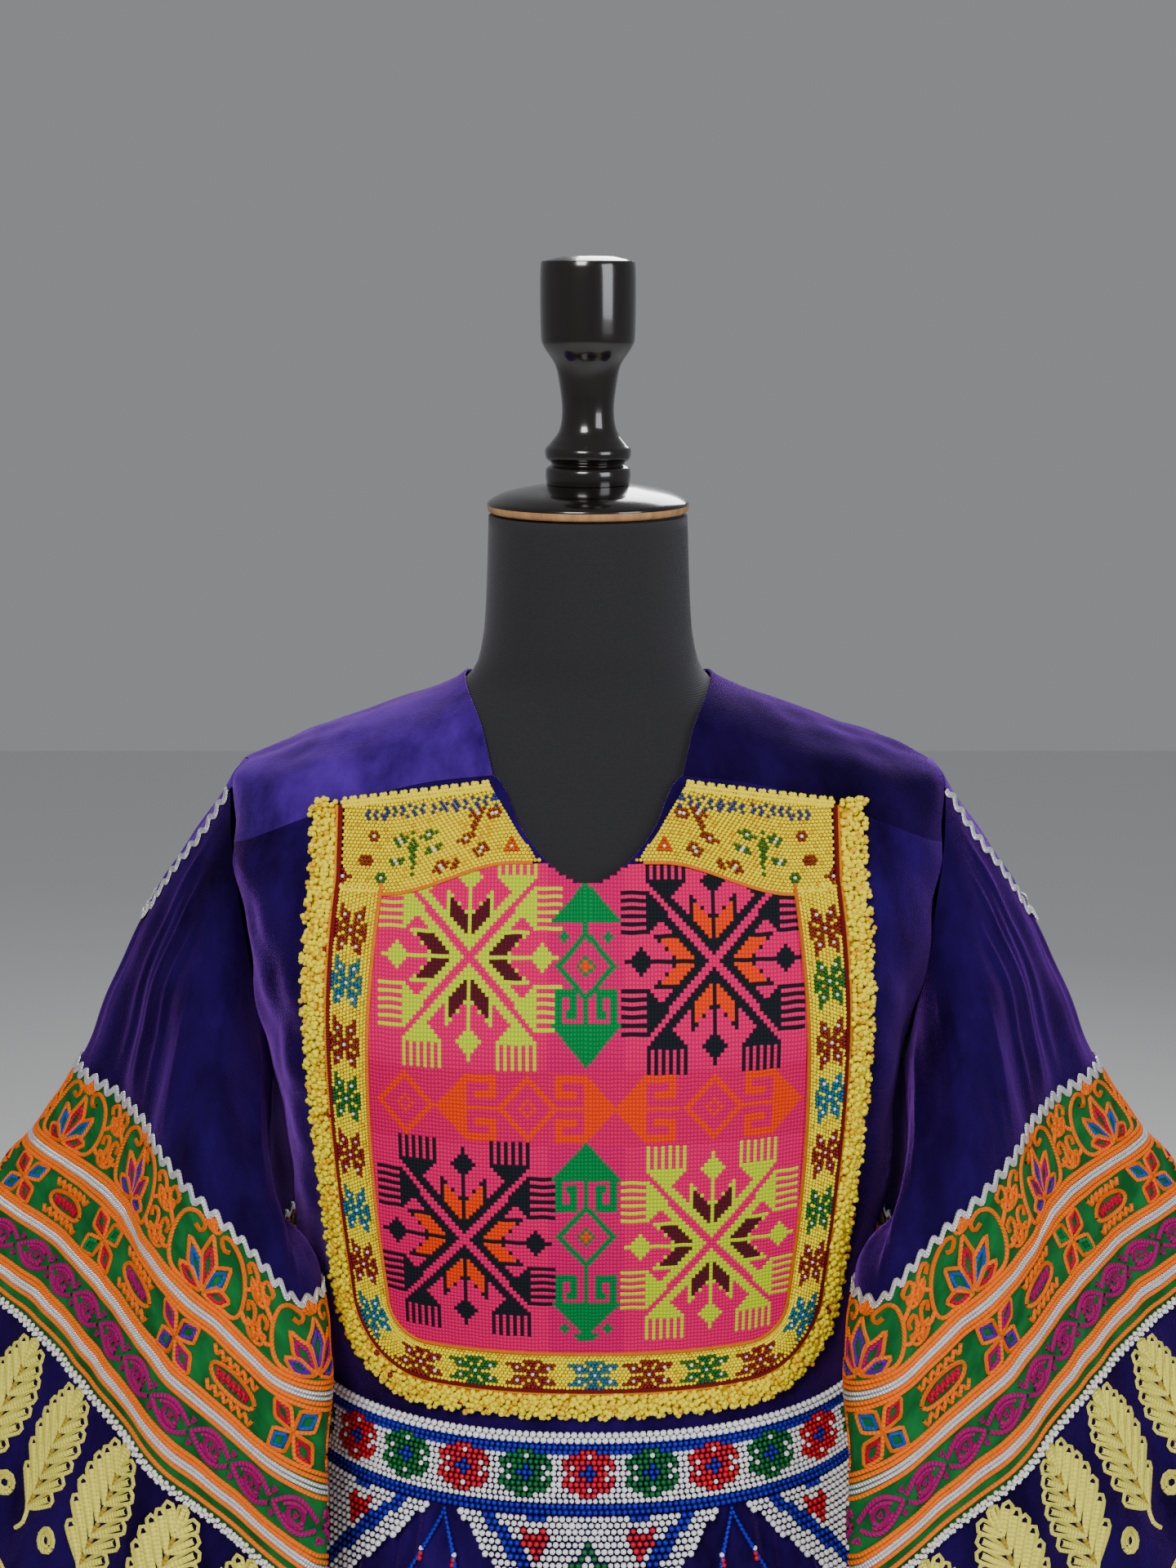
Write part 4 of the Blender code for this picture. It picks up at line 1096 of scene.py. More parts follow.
BARE_WOOD_TOP = 1.4522
NECK_CAP_PROFILE = (
    # radius, height
    (0.0250, 1.4632), (0.0460, 1.4590), (0.0560, 1.4545), (0.0575, 1.4515), (0.0560, 1.4480),
    (0.0500, 1.4473),
)
FINIAL_PROFILE = (
    (0.0150, 1.5890), (0.0240, 1.5865), (0.0266, 1.5825), (0.0266, 1.5480), (0.0250, 1.5400),
    (0.0186, 1.5300), (0.0160, 1.5180), (0.0147, 1.5050), (0.0162, 1.4940), (0.0215, 1.4865),
    (0.0243, 1.4830), (0.0238, 1.4780), (0.0207, 1.4750), (0.0236, 1.4725), (0.0242, 1.4685),
    (0.0236, 1.4636),
)


def dress_form():
    jersey_form()
    turned_piece("turned_finial", FINIAL_PROFILE, 61, ("finial",))
    cap = turned_piece("turned_neck_cap", NECK_CAP_PROFILE, 26, ("neck_cap",))
    cap.materials.append(BARE_WOOD)
    for face in cap.polygons:
        face.material_index = int(face.center.z < BARE_WOOD_TOP)
    for name, material in (("stand_pole", STEEL), ("stand_base", STAINED_WOOD)):
        for entry in bpy.data.objects[name].material_slots:
            entry.material = material


dress_form()
bodice(False)
bodice(True)
for side in (1, -1):
    yoke(side)
    sleeve_crescent(side)
    sleeve_tiers(side)
for number in range(1, len(SKIRT_SEAMS)):
    skirt_gore(number)


# Chest panel

CELL_WIDTH = 0.00195
CELL_HEIGHT = 0.00225
CHART_COLUMNS = 126
CHART_TOP = -8
CHART_BOTTOM = 121
MIDDLE_ROW = 54

MAGENTA = (0.86, 0.0, 0.135)
MAGENTA_MIDDLE = (0.74, 0.0, 0.135)
MAGENTA_BAND = (0.78, 0.0, 0.115)
LIME = (0.60, 0.80, 0.0)
LIME_TEETH = (0.66, 0.74, 0.01)
MAROON = shade(86, 26, 38)
SLATE = shade(26, 32, 38)
ORANGE = (1.0, 0.045, 0.0)
GREEN_YARN = shade(0, 134, 66)

STARS = (
    # centre across, centre down, outline, teeth, leaves
    (-0.0644, 0.0405, LIME, LIME_TEETH, MAROON),
    (0.0661, 0.0436, SLATE, SLATE, ORANGE),
    (-0.0674, 0.2003, SLATE, SLATE, ORANGE),
    (0.0665, 0.2032, LIME, LIME_TEETH, MAROON),
)


def chart_star(chart, column_no, row_no, star):
    """Four arms round a diagonal cross, each with two leaves, a bud and a pair of combs."""
    across, down, outline, teeth, leaves = star
    u = column_no - round(across / CELL_WIDTH)
    v = row_no - round(down / CELL_HEIGHT)
    for p, q, spine, first_tooth in ((u, v, 18, 7), (-u, v, 18, 7), (v, u, 20, 8), (-v, u, 20, 8)):
        away = np.abs(q)
        inward = p - away
        chart[within(inward, 2, 4) & (p <= spine)] = outline
        chart[(away == 6) & within(inward, 5, 10)] = outline
        chart[(inward == 10) & (away <= 6) & (away % 2 == 1)] = outline
        chart[within(away, 1, 5) & within(inward, 5, 9)] = leaves
        chart[(away == 0) & within(p, 3, 24)] = outline
        chart[np.abs(p - 20) + away <= 3] = outline
        chart[(np.abs(away - first_tooth - 5) <= p - spine + 5) & (p <= spine)] = outline
        tooth = within(away, first_tooth, first_tooth + 10) & ((away - first_tooth) % 2 == 0)
        chart[tooth & (p > spine) & (p <= first_tooth + 18)] = teeth


def chart_diamond(chart, spread_out, yarn):
    chart[within(spread_out, 7, 8) | (spread_out == 2)] = yarn


def chart_hooks(chart, k, away, yarn):
    """A pair of square spirals beside a stem. k counts cells along the stem, and away from it."""
    chart[within(away, 7, 8) & within(k, 0, 8)] = yarn
    chart[within(away, 3, 8) & within(k, 7, 8)] = yarn
    chart[within(away, 3, 4) & within(k, 3, 8)] = yarn


def chart_medallion(chart, column_no, row_no, centre_row, top, bottom, foot):
    """A stem between two triangles, with hooks beside it and a diamond in its middle."""
    c = column_no + 1
    away = np.abs(c)
    spread_out = away + np.abs(row_no - centre_row)
    chart[(away == 0) & within(row_no, top, bottom)] = GREEN_YARN
    chart[within(row_no, top - 9, top) & (away <= 9 + row_no - top)] = GREEN_YARN
    chart[within(row_no, bottom, bottom + 9) & (away <= 9 + bottom - row_no)] = GREEN_YARN
    chart[spread_out < 9] = MAGENTA_MIDDLE
    chart_diamond(chart, spread_out, GREEN_YARN)
    chart[spread_out < 2] = ORANGE
    for k in (bottom - row_no, row_no - top)[:2 if foot else 1]:
        chart_hooks(chart, k, away, GREEN_YARN)
        chart[within(away, 3, 5) & within(k, 2, 3)] = GREEN_YARN
    if foot:
        chart[(row_no == bottom + 9) & (away <= 3)] = GREEN_YARN
        chart[(row_no == bottom + 10) & (away <= 2)] = GREEN_YARN
    spot_row = bottom + 7 if foot else top + 4
    for middle in (-6, 6):
        chart[np.abs(c - middle) + np.abs(row_no - spot_row) <= 1] = GREEN_YARN


def chart_band(chart, column_no, row_no):
    """Diamonds and facing triangles with square hooks, along the middle."""
    away = np.abs(row_no - MIDDLE_ROW)
    for middle in (-51, -17, 34):
        chart_diamond(chart, np.abs(column_no - middle) + away, ORANGE)
    for base, way in ((-34, 1), (-1, -1), (15, 1), (51, -1)):
        k = way * (column_no - base)
        chart[within(k, -8, 0) & (away <= 8 + k)] = ORANGE
        chart[(away == 0) & within(k, 0, 9)] = ORANGE
        chart_hooks(chart, k, away, ORANGE)


def field_top(across):
    """The stitched field's slanting upper edge, which the beaded pieces cover."""
    return -0.012 + 0.020 * smooth_step(0.040, 0.112, np.abs(across))


def in_field(across, down):
    over = np.maximum(np.abs(across) - TURN_CENTRE, 0.0)
    below = np.maximum(down - TURN_START, 0.0)
    corner = np.hypot(over, below) <= FIELD_CORNER
    inside = (np.abs(across) <= field_half_width(down)) & (down <= FIELD_LENGTH)
    inside &= (down <= TURN_START) | corner
    near = neckline_across(down)
    return inside & (down >= field_top(across)) & (np.abs(across) >= near + 0.001 * (near > 0))


def stitched_field():
    columns = np.arange(CHART_COLUMNS) - CHART_COLUMNS // 2
    column_no, row_no = np.meshgrid(columns, np.arange(CHART_TOP, CHART_BOTTOM))
    chart = np.empty(column_no.shape + (3,))
    chart[:] = MAGENTA
    chart[np.abs(column_no + 1) <= 10] = MAGENTA_MIDDLE
    chart[np.abs(row_no - MIDDLE_ROW) <= 9] = MAGENTA_BAND
    for star in STARS:
        chart_star(chart, column_no, row_no, star)
    chart_medallion(chart, column_no, row_no, 20, 9, 34, False)
    chart_medallion(chart, column_no, row_no, 87, 72, 106, True)
    chart_band(chart, column_no, row_no)
    edges_across = (np.arange(CHART_COLUMNS + 1) - CHART_COLUMNS // 2) * CELL_WIDTH
    edges_down = np.arange(CHART_TOP, CHART_BOTTOM + 1) * CELL_HEIGHT
    across, down = np.meshgrid(edges_across, edges_down)
    pull = 0.00025 * np.sin(np.arange(CHART_COLUMNS + 1) * 0.9)[None, :] * np.sin(down * 160)
    uneven = 0.0004 * rumple(np.stack((across, down, 0 * down), -1), 0.08, 61)
    points = chart_point(across, down + pull, LAID + COTTON_THICK + uneven)
    keep = in_field(*np.meshgrid(*((edges[1:] + edges[:-1]) / 2 for edges in (edges_across, edges_down))))
    places = np.stack((across, down), -1)
    mesh = grid_mesh("stitched_field", points[::-1], places[::-1], tints=chart[::-1], keep=keep[::-1])
    piece = finish_piece("stitched_field", mesh, counted_stitches("counted stitches"),
                         ("panel_field",))


# Beadwork round the field

BEAD_PITCH = 0.00215
BORDER_BEAD = 0.00116
FRINGE_BEAD = 0.00184
FRINGE_TOP_BEAD = 0.00175
TOP_BEAD = 0.00114
TOP_EDGE_BEAD = 0.00150
BORDER_COLUMNS = 11
BORDER_MIDDLE = 6
BORDER_GAP = 0.0004
FRINGE_ROWS = 6
FRINGE_PITCH = 0.0027
FRINGE_STEP = 0.0026
TOP_CELL = 2.15
TOP_EDGE_BEADS = 44

YELLOW = (1.0, 0.82, 0.0)
YELLOW_DEEP = (0.85, 0.50, 0.0)
WHITE = shade(240, 240, 236)
RED_BEAD = shade(128, 16, 26)
TEAL_BEAD = shade(0, 104, 140)
GREEN_BEAD = shade(8, 96, 44)
BLUE_BEAD = shade(18, 32, 140)
FLOWER_COLOURS = {"r": RED_BEAD, "t": TEAL_BEAD, "g": GREEN_BEAD}

BEADS = tinted("glass beads", 0.28, Specular_IOR_Level=0.2, Coat_Weight=0.12, Coat_Roughness=0.08)
THREAD = tinted("twisted thread", 0.60, 0.0016, 0.0005, Specular_IOR_Level=0.15)


def path_frame(apart, top, spacing):
    """Places along a line round the field, with the outward way at each."""
    path = field_path(apart, top, spacing)
    along = np.gradient(path, axis=0)
    along /= np.linalg.norm(along, axis=1, keepdims=True)
    return path, np.stack((-along[:, 1], along[:, 0]), -1)


def on_panel(places, lift):
    places = np.asarray(places)
    return chart_point(places[:, 0], places[:, 1], lift)


def bead_radius(radius, spread_out=0.05):
    return radius * (1 + spread_out * chance.normal())


def yellow(few):
    """A yellow bead, with a few of a deeper yellow among them."""
    return YELLOW if chance.random() > few else YELLOW_DEEP


FLOWER_BEADS = (
    # beads out from the middle along the border, then those beads across it: 1 petal, 2 white
    {0: 2, 1: 1, 2: 1, 3: 1, 4: 1}, {0: 1, 1: 1, 3: 1, 4: 1}, {1: 1, 2: 1, 4: 1}, {1: 1, 2: 1, 3: 1},
    {1: 1, 2: 2, 3: 1}, {2: 1, 3: 1}, {3: 1},
)
BORDER_FLOWERS = (
    # across, down, colour
    (-0.136, 0.0285, "r"), (-0.136, 0.0595, "t"), (-0.138, 0.0935, "r"), (-0.140, 0.1270, "g"),
    (-0.140, 0.1610, "r"), (-0.139, 0.1950, "t"), (-0.137, 0.2290, "r"), (-0.1250, 0.2640, "t"),
    (-0.0965, 0.2850, "r"), (-0.0640, 0.2865, "g"), (-0.0306, 0.2865, "r"), (0.0022, 0.2865, "t"),
    (0.0340, 0.2865, "r"), (0.0665, 0.2865, "g"), (0.0985, 0.2850, "r"), (0.1260, 0.2640, "t"),
    (0.137, 0.2290, "r"), (0.139, 0.1950, "g"), (0.140, 0.1610, "r"), (0.140, 0.1270, "t"),
    (0.138, 0.0935, "r"), (0.136, 0.0595, "g"), (0.136, 0.0285, "r"),
)


def bead_border():
    pitch = (BAND_WIDTH - BORDER_GAP) / BORDER_COLUMNS
    path, outward = path_frame(BORDER_GAP + pitch * (BORDER_MIDDLE + 0.5), 0.004, BEAD_PITCH)
    centres = [int(np.argmin(np.hypot(path[:, 0] - a, path[:, 1] - b))) for a, b, _ in BORDER_FLOWERS]
    places, colours, radii = [], [], []
    for j in range(len(path)):
        nearest = int(np.argmin([abs(j - c) for c in centres]))
        petal = FLOWER_COLOURS[BORDER_FLOWERS[nearest][2]]
        out_from = abs(j - centres[nearest])
        flower = FLOWER_BEADS[out_from] if out_from < len(FLOWER_BEADS) else {}
        step = path[min(j + 1, len(path) - 1)] - path[max(j - 1, 0)]
        step = step / np.linalg.norm(step)
        for k in range(BORDER_COLUMNS):
            v = k - BORDER_MIDDLE
            kind = flower.get(abs(v), 0)
            places.append(path[j] + outward[j] * (v * pitch) + step * (0.25 * pitch * (-1) ** k))
            radii.append(bead_radius(BORDER_BEAD))
            colours.append((YELLOW, petal, WHITE)[kind] if kind else yellow(0.06))
    lifts = LAID + 0.0014 + 0.00022 * chance.normal(size=len(places))
    bead_piece("bead_border_beads", on_panel(places, lifts), radii, colours,
               ("bead_border",))


def thread_skin(path, up, radius, turns, squash):
    along = unit(np.gradient(path, axis=0))
    aside = unit(np.cross(along, up))
    top = np.cross(aside, along)
    turns = turns[None, :, None]
    return path[:, None] + radius * (np.cos(turns) * aside[:, None] + squash * np.sin(turns) * top[:, None])


def laid_thread(path, up, radius, sides=4, squash=0.75):
    """The upper half of a thread that lies on the cloth, from one edge over its top to the other."""
    return thread_skin(path, up, radius, np.linspace(math.radians(-20), math.radians(200), sides), squash)


def laid_cord(points, radius):
    """A cord's skin on the panel, flattened a little where it lies on the cloth."""
    return thread_skin(points, ring_normal(BODY_ROWS, points), radius, np.linspace(0, 2 * math.pi, 8), 0.8)


def panel_cords():
    red, gold, tinsel = shade(118, 14, 24), shade(240, 150, 20), shade(226, 120, 30)
    strips = []
    for apart, top, lift, radius, tint in (
        (-0.0004, 0.002, 0.0022, 0.0011, tinsel),
        (BAND_WIDTH + 0.0012, -TOP_BEADS_LENGTH, 0.0014, 0.0014, red),
        (BAND_WIDTH + 0.0034, -TOP_BEADS_LENGTH, 0.0012, 0.0009, gold),
    ):
        strips.append((laid_cord(on_panel(path_frame(apart, top, 0.004)[0], LAID + lift), radius), tint))
    for low, high in ((-0.114, -0.030), (0.030, 0.114)):
        across = np.linspace(low, high, 40)
        points = chart_point(across, field_top(across) + 0.0004, LAID + 0.0022)
        strips.append((laid_cord(points, 0.0010), tinsel))
    strip_piece("panel_cords", strips, THREAD)


def picot_fringe():
    places, colours, radii, lifts = [], [], [], []
    for k in range(FRINGE_ROWS):
        apart = BAND_WIDTH + CORD_WIDTH + 0.0010 + k * FRINGE_STEP
        path, outward = path_frame(apart, -TOP_BEADS_LENGTH - 0.002, FRINGE_PITCH)
        for j in range(len(path)):
            if k == FRINGE_ROWS - 1 and (j // 2) % 2 == 0:
                continue
            jitter = chance.normal(size=2) * 0.00045
            places.append(path[j] + outward[j] * (jitter[0] + 0.0004 * (j % 2)) + jitter[1])
            colours.append(yellow(0.2))
            if chance.random() < 0.006:
                colours[-1] = RED_BEAD
            radii.append(bead_radius(FRINGE_BEAD, 0.07))
            lifts.append(LAID + 0.0016 + (0.0011 if (j + k) % 2 else 0.0) + 0.0003 * chance.normal())
            if j % 2 == k % 2 and 0 < k < FRINGE_ROWS - 1:
                places.append(places[-1] + chance.normal(size=2) * 0.0008)
                colours.append(colours[-1])
                radii.append(FRINGE_TOP_BEAD)
                lifts.append(lifts[-1] + 0.0024)
    bead_piece("picot_fringe_beads", on_panel(places, lifts), radii, colours,
               ("bead_fringe",))


TOP_SPOTS = (
    # across, height above the lower edge (mm), half width, half height, colour, whether its heart is white
    (95, 20, 1.5, 14, GREEN_BEAD, False), (102, 29, 4.5, 3.2, GREEN_BEAD, True),
    (87, 28, 4.6, 3.0, GREEN_BEAD, True), (84, 19, 5.0, 2.6, GREEN_BEAD, True),
    (95, 24, 2.8, 3.0, GREEN_BEAD, True), (104, 17, 4.6, 2.4, GREEN_BEAD, True),
    (60, 31, 4.6, 5.2, RED_BEAD, True), (51, 28, 4.2, 3.6, RED_BEAD, True),
    (66, 18, 4.2, 3.6, RED_BEAD, True), (58, 9, 5.0, 4.2, RED_BEAD, True),
    (62, 23, 2.0, 5.0, RED_BEAD, False), (80, 7, 4.8, 4.0, RED_BEAD, True),
    (72, 5, 3.0, 3.0, RED_BEAD, False), (121, 18, 4.0, 4.4, RED_BEAD, False),
    (134, 8, 4.2, 4.4, RED_BEAD, True), (113, 8, 3.2, 3.2, GREEN_BEAD, True),
    (117, 32, 3.4, 3.0, RED_BEAD, True),
)


def top_colour(across, rise, top):
    """across and rise in mm. top is how high the piece is there."""
    below_top = top - rise
    if 4.0 < below_top < 10.4 and 50 < across < 124:
        row, place = int((below_top - 4.0) / TOP_CELL), int(across / TOP_CELL)
        return BLUE_BEAD if (row + place) % 2 else YELLOW
    if abs(across - 42) < 5.5 - (rise - 4) * 0.55 and 4 < rise < 15:
        return WHITE if math.hypot(across - 42, rise - 7.5) < 1.6 else shade(214, 54, 14)
    for middle, height, half, tall, colour, heart in TOP_SPOTS:
        du, dv = (across - middle) / half, (rise - height) / tall
        if abs(du) + abs(dv) < 1.15:
            if heart and math.hypot(across - middle, rise - height) < 1.5:
                return WHITE
            return colour
    return yellow(0.07)


def top_beads_edge(across):
    """How far above the field's middle line the top pieces' upper edge is."""
    return TOP_BEADS_LENGTH + TOP_BEADS_RISE * (1 - np.clip((across - 0.045) / 0.090, 0, 1))


def beaded_top(side):
    places, colours, radii, lifts = [], [], [], []
    for i in range(40):
        for j in range(80):
            across = 0.020 + (j + 0.5 * (i % 2)) * BEAD_PITCH
            low = float(field_top(across)) - 0.0012
            top = top_beads_edge(across)
            down = low - i * BEAD_PITCH * 0.93
            near = float(neckline_across(down)) + 0.003
            far = float(field_half_width(down)) + BAND_WIDTH
            if down < -top + 0.0012 or across < near or across > far:
                continue
            places.append((side * across, down))
            colours.append(top_colour(across * 1000, (low - down) * 1000, (low + top) * 1000))
            radii.append(bead_radius(TOP_BEAD))
            lifts.append(TOP_BEADS_LIFT + 0.0012)
    shares = np.arange(TOP_EDGE_BEADS) / (TOP_EDGE_BEADS - 1)
    for j, across in enumerate(0.0535 + (0.134 - 0.0535) * shares):
        for number, spot in enumerate(((0.0, 0.0), (0.0009, -0.0021), (-0.0003, -0.0042))):
            if number == 2 and j % 3 == 0:
                continue
            places.append((side * (across + spot[0]), -top_beads_edge(across) + 0.0006 + spot[1]))
            colours.append(YELLOW)
            radii.append(bead_radius(TOP_EDGE_BEAD, 0.06))
            lifts.append(TOP_BEADS_LIFT + 0.0016)
    bead_piece(f"bead_top_beads_{HANDS[side]}", on_panel(places, lifts), radii, colours,
               (f"bead_top_{HANDS[side]}",))


def beadwork_backing():
    """The thread net that the beads are sewn on, seen as a deep yellow between them."""
    deep = (0.95, 0.62, 0.0)
    fringe_start = BAND_WIDTH + CORD_WIDTH
    strips = []
    for near, far, top in (
        (0.0006, BAND_WIDTH - BORDER_GAP, 0.002),
        (fringe_start, fringe_start + 0.012, -TOP_BEADS_LENGTH),
    ):
        first, outward = path_frame((near + far) / 2, top, 0.004)
        rows = [on_panel(first + outward * (far - near) / 2 * share, LAID + 0.0006) for share in (-1, 0, 1)]
        strips.append((np.stack(rows, 1), deep))
    for side in (1, -1):
        rows = []
        for rise in np.linspace(0, 1, 12):
            across = 0.030 + 0.104 * np.linspace(0, 1, 24)
            low = field_top(across)
            down = low - (low + top_beads_edge(across) - 0.001) * rise
            across = np.maximum(across, neckline_across(down) + 0.003)
            rows.append(chart_point(side * across, down, TOP_BEADS_LIFT + 0.0002))
        strips.append((np.stack(rows), deep))
    strip_piece("beadwork_backing", strips, THREAD)


stitched_field()
beadwork_backing()
bead_border()
panel_cords()
picot_fringe()
beaded_top(1)
beaded_top(-1)


# Sleeve trims

BAND_COLUMNS = np.linspace(0, 360, 721)
BAND_PLACES = np.linspace(0.0, CUFF_END, 61)


def round_shares():
    """For rows down the sleeve, how far round the cloth each angle is, and the whole way round."""
    points = sleeve_base(BAND_COLUMNS[None, :], BAND_PLACES[:, None])
    lengths = np.array([lengths_along(row) for row in points])
    return lengths / lengths[:, -1:], lengths[:, -1]


SHARES, ROUNDS = round_shares()
SHARE_STEPS = np.linspace(0, 1, 481)
ANGLES_BY_SHARE = np.array([np.interp(SHARE_STEPS, row, BAND_COLUMNS) for row in SHARES])


def on_sleeve(share, distance, side, lift):
    """Points a share of the way round the sleeve from its ridge, and the outward way at each."""
    share, distance = np.broadcast_arrays(np.asarray(share, float), np.asarray(distance, float))
    row = np.maximum(distance / CUFF_END * (len(BAND_PLACES) - 1), 0)
    angle = in_table(ANGLES_BY_SHARE, row, (share % 1.0) * (len(SHARE_STEPS) - 1))
    return sleeve_cloth(angle, distance, side, lift), sleeve_out(angle, distance, side)


def way_round(distance):
    return float(np.interp(distance, BAND_PLACES, ROUNDS))


ORANGE_THREAD = (1.0, 0.17, 0.0)
SILVER = shade(232, 232, 236)
VINE = (0.36, 0.0, 0.13)
CRIMSON = shade(190, 10, 50)
PURPLE = shade(84, 18, 158)
BLUE_THREAD = shade(18, 84, 180)
GOLD = shade(240, 230, 98)
GOLD_DEEP = shade(176, 150, 48)
BAND_SILVER_ROWS = (0.0515, 0.0905, 0.1230)
BAND_ORANGE_ROWS = (0.0455, 0.0480, 0.0550, 0.0575, 0.0846, 0.0870, 0.0940, 0.1170, 0.1195, 0.1266, 0.1330)
CUFF_GOLD_ROWS = (0.118, 0.124, 0.132)
RIC_RAC_STRANDS = (-0.0014, 0.0, 0.0014)
RIC_RAC_THREAD = 0.0010
RIC_RAC_WAVES = 78
RIC_RAC_WAVE = 0.0105
ROPE_BEAD = 0.00155
ROPE_PITCH = 0.0023
ROPE_TWIST = 0.0085

# Repeats round the sleeve: the room that each takes in metres, and its drawing's width in mm

BAND_TILE_ROOM = 0.082
BAND_TILE_WIDTH = 78.0
LEAF_TILE_ROOM = 0.050
LEAF_TILE_WIDTH = 50.0

CHAIN = tinted("chain stitch", 0.60, 0.0024, 0.0006, Specular_IOR_Level=0.15)
BRAID = tinted("silver braid", 0.34, 0.0018, 0.0006, Metallic=0.55)


def along_line(points, step):
    """Even steps along a smooth line through a few points."""
    points = np.asarray(points, float)
    smooth = resample(points, max(len(points) * 6, 12)) if len(points) > 2 else points
    lengths = lengths_along(smooth)
    return at_lengths(smooth, lengths, np.linspace(0, lengths[-1], max(int(lengths[-1] / step) + 1, 3)))


def ways(turn):
    """Ahead and aside for a shape drawn in mm with y down. Turn 0 points up, in degrees clockwise."""
    go = math.radians(turn)
    return np.array((math.sin(go), -math.cos(go))), np.array((math.cos(go), math.sin(go)))


def two_sided(base, turn, reach, half):
    """An outline up one side of a line from its base and down the other."""
    ahead, aside = ways(turn)
    right = [np.array(base) + ahead * a + aside * b for a, b in zip(reach, half)]
    left = [np.array(base) + ahead * a - aside * b for a, b in zip(reach, half)]
    return right + left[::-1][1:]


def leaf_line(base, turn, length, width):
    """A pointed petal's outline from its base."""
    t = np.linspace(0, 1, 9)
    return two_sided(base, turn, length * t, width / 2 * np.sin(math.pi * t) ** 0.85 * (1 - 0.25 * (t - 0.5)))


def lobe_line(base, turn, length, width):
    """A long loop from its base with a round far end."""
    straight = length - width / 2
    reach = [straight * t for t in (0.0, 0.3, 0.65, 1.0)]
    half = [width / 2 * t for t in (0.0, 0.55, 0.85, 1.0)]
    for bend in (30, 60, 90):
        reach.append(straight + width / 2 * math.sin(math.radians(bend)))
        half.append(width / 2 * math.cos(math.radians(bend)))
    return two_sided(base, turn, reach, half)


def ring_line(centre, across, down=None):
    down = down or across
    turns = np.linspace(0, 2 * math.pi, 13)
    return [(centre[0] + across * math.cos(turn), centre[1] + down * math.sin(turn)) for turn in turns]


def zigzag(start, end, middle, height, count):
    xs = np.linspace(start, end, 2 * count + 1)
    return [(x, middle + (height if i % 2 else -height)) for i, x in enumerate(xs)]


def mirrored(line):
    return [(-x, y) for x, y in line]


def kite(base, turn, length, width):
    """A four-cornered petal from its base, drawn corner by corner."""
    ahead, aside = ways(turn)
    base = np.array(base, float)
    middle, half = base + ahead * length * 0.55, aside * width / 2
    corners = [base, middle + half, base + ahead * length, middle - half, base]
    line = []
    for start, end in zip(corners, corners[1:]):
        line += [start + (end - start) * share for share in (0.06, 0.35, 0.65, 0.94)]
    return line + [line[0]]


def petal_pair(base, turn, length, width, heart):
    """A petal in orange, and a smaller one in its own colour inside it."""
    inner = np.array(base) + 3.6 * ways(turn)[0]
    return [(kite(base, turn, length, width), ORANGE_THREAD, 1.25),
            (kite(inner, turn, length * 0.66, width * 0.56), heart, 1.15)]


def band_tile(number):
    """One repeat of the sleeve band's chain stitch, in mm from its middle and from the band's top edge."""
    lines = []
    hearts = (CRIMSON, PURPLE, BLUE_THREAD, VINE)
    heart = hearts[number % 2]
    other = hearts[number % 2 + 2]
    lines += petal_pair((0, 42), 0, 31, 11, heart)
    for turn, length, width in ((-36, 26, 11), (36, 26, 11), (-74, 19, 10), (74, 19, 10)):
        lines += petal_pair((0, 42), turn, length, width, heart if abs(turn) > 40 else other)
    for line in (
        [(-9, 43), (-21, 42.5), (-26.5, 36), (-27, 24), (-22, 12), (-13, 6), (-6.5, 9), (-8.5, 14.5),
         (-13, 13)],
        [(-27, 24), (-33, 19), (-37, 12), (-33, 6), (-28, 9), (-30, 13)],
        [(-26, 35), (-32, 38), (-37, 33), (-36, 26), (-31, 27), (-32, 31)],
    ):
        lines += [(line, ORANGE_THREAD, 1.35), (mirrored(line), ORANGE_THREAD, 1.35)]
    for tilt in (-44, 0, 44):
        for base, length, width in (((-39, 22), 11, 5.4), ((-39, 42), 10, 5.0), ((0, 9), 8, 4.0)):
            lines.append((leaf_line(base, tilt, length, width), ORANGE_THREAD, 1.2))
    pair = ((BLUE_THREAD, CRIMSON), (GREEN_YARN, CRIMSON), (PURPLE, VINE))[number % 3]
    for tilt in (45, 135, 225, 315):
        lines += petal_pair((-9, 71), tilt, 17.5, 11.5, pair[tilt // 90 % 2])
    lines.append((ring_line((30, 71), 15.5, 5.8), ORANGE_THREAD, 1.35))
    lines.append((zigzag(19, 41, 71, 2.8, 6), VINE if number % 2 else CRIMSON, 1.3))
    for y in (62.2, 79.8):
        lines.append((zigzag(14, 46, y, 2.1, 6), ORANGE_THREAD, 1.25))
    for middle in (-26, 0, 26):
        lines.append((ring_line((middle, 105.5), 4.2), VINE, 1.5))
        lines.append((ring_line((middle, 105.5), 1.3), VINE, 1.2))
        for way in (-1, 1):
            steps = range(-13, 14, 3)
            wave = [(middle + dx, 105.5 + way * 7.4 * math.cos(math.pi * dx / 26)) for dx in steps]
            lines.append((wave, VINE, 1.5))
            lines.append(([(x, y - way * 2.6) for x, y in wave[2:-2]], VINE, 1.25))
        for y in (99.8, 111.2):
            lines.append((ring_line((middle + 13, y), 1.3), VINE, 1.2))
    return lines


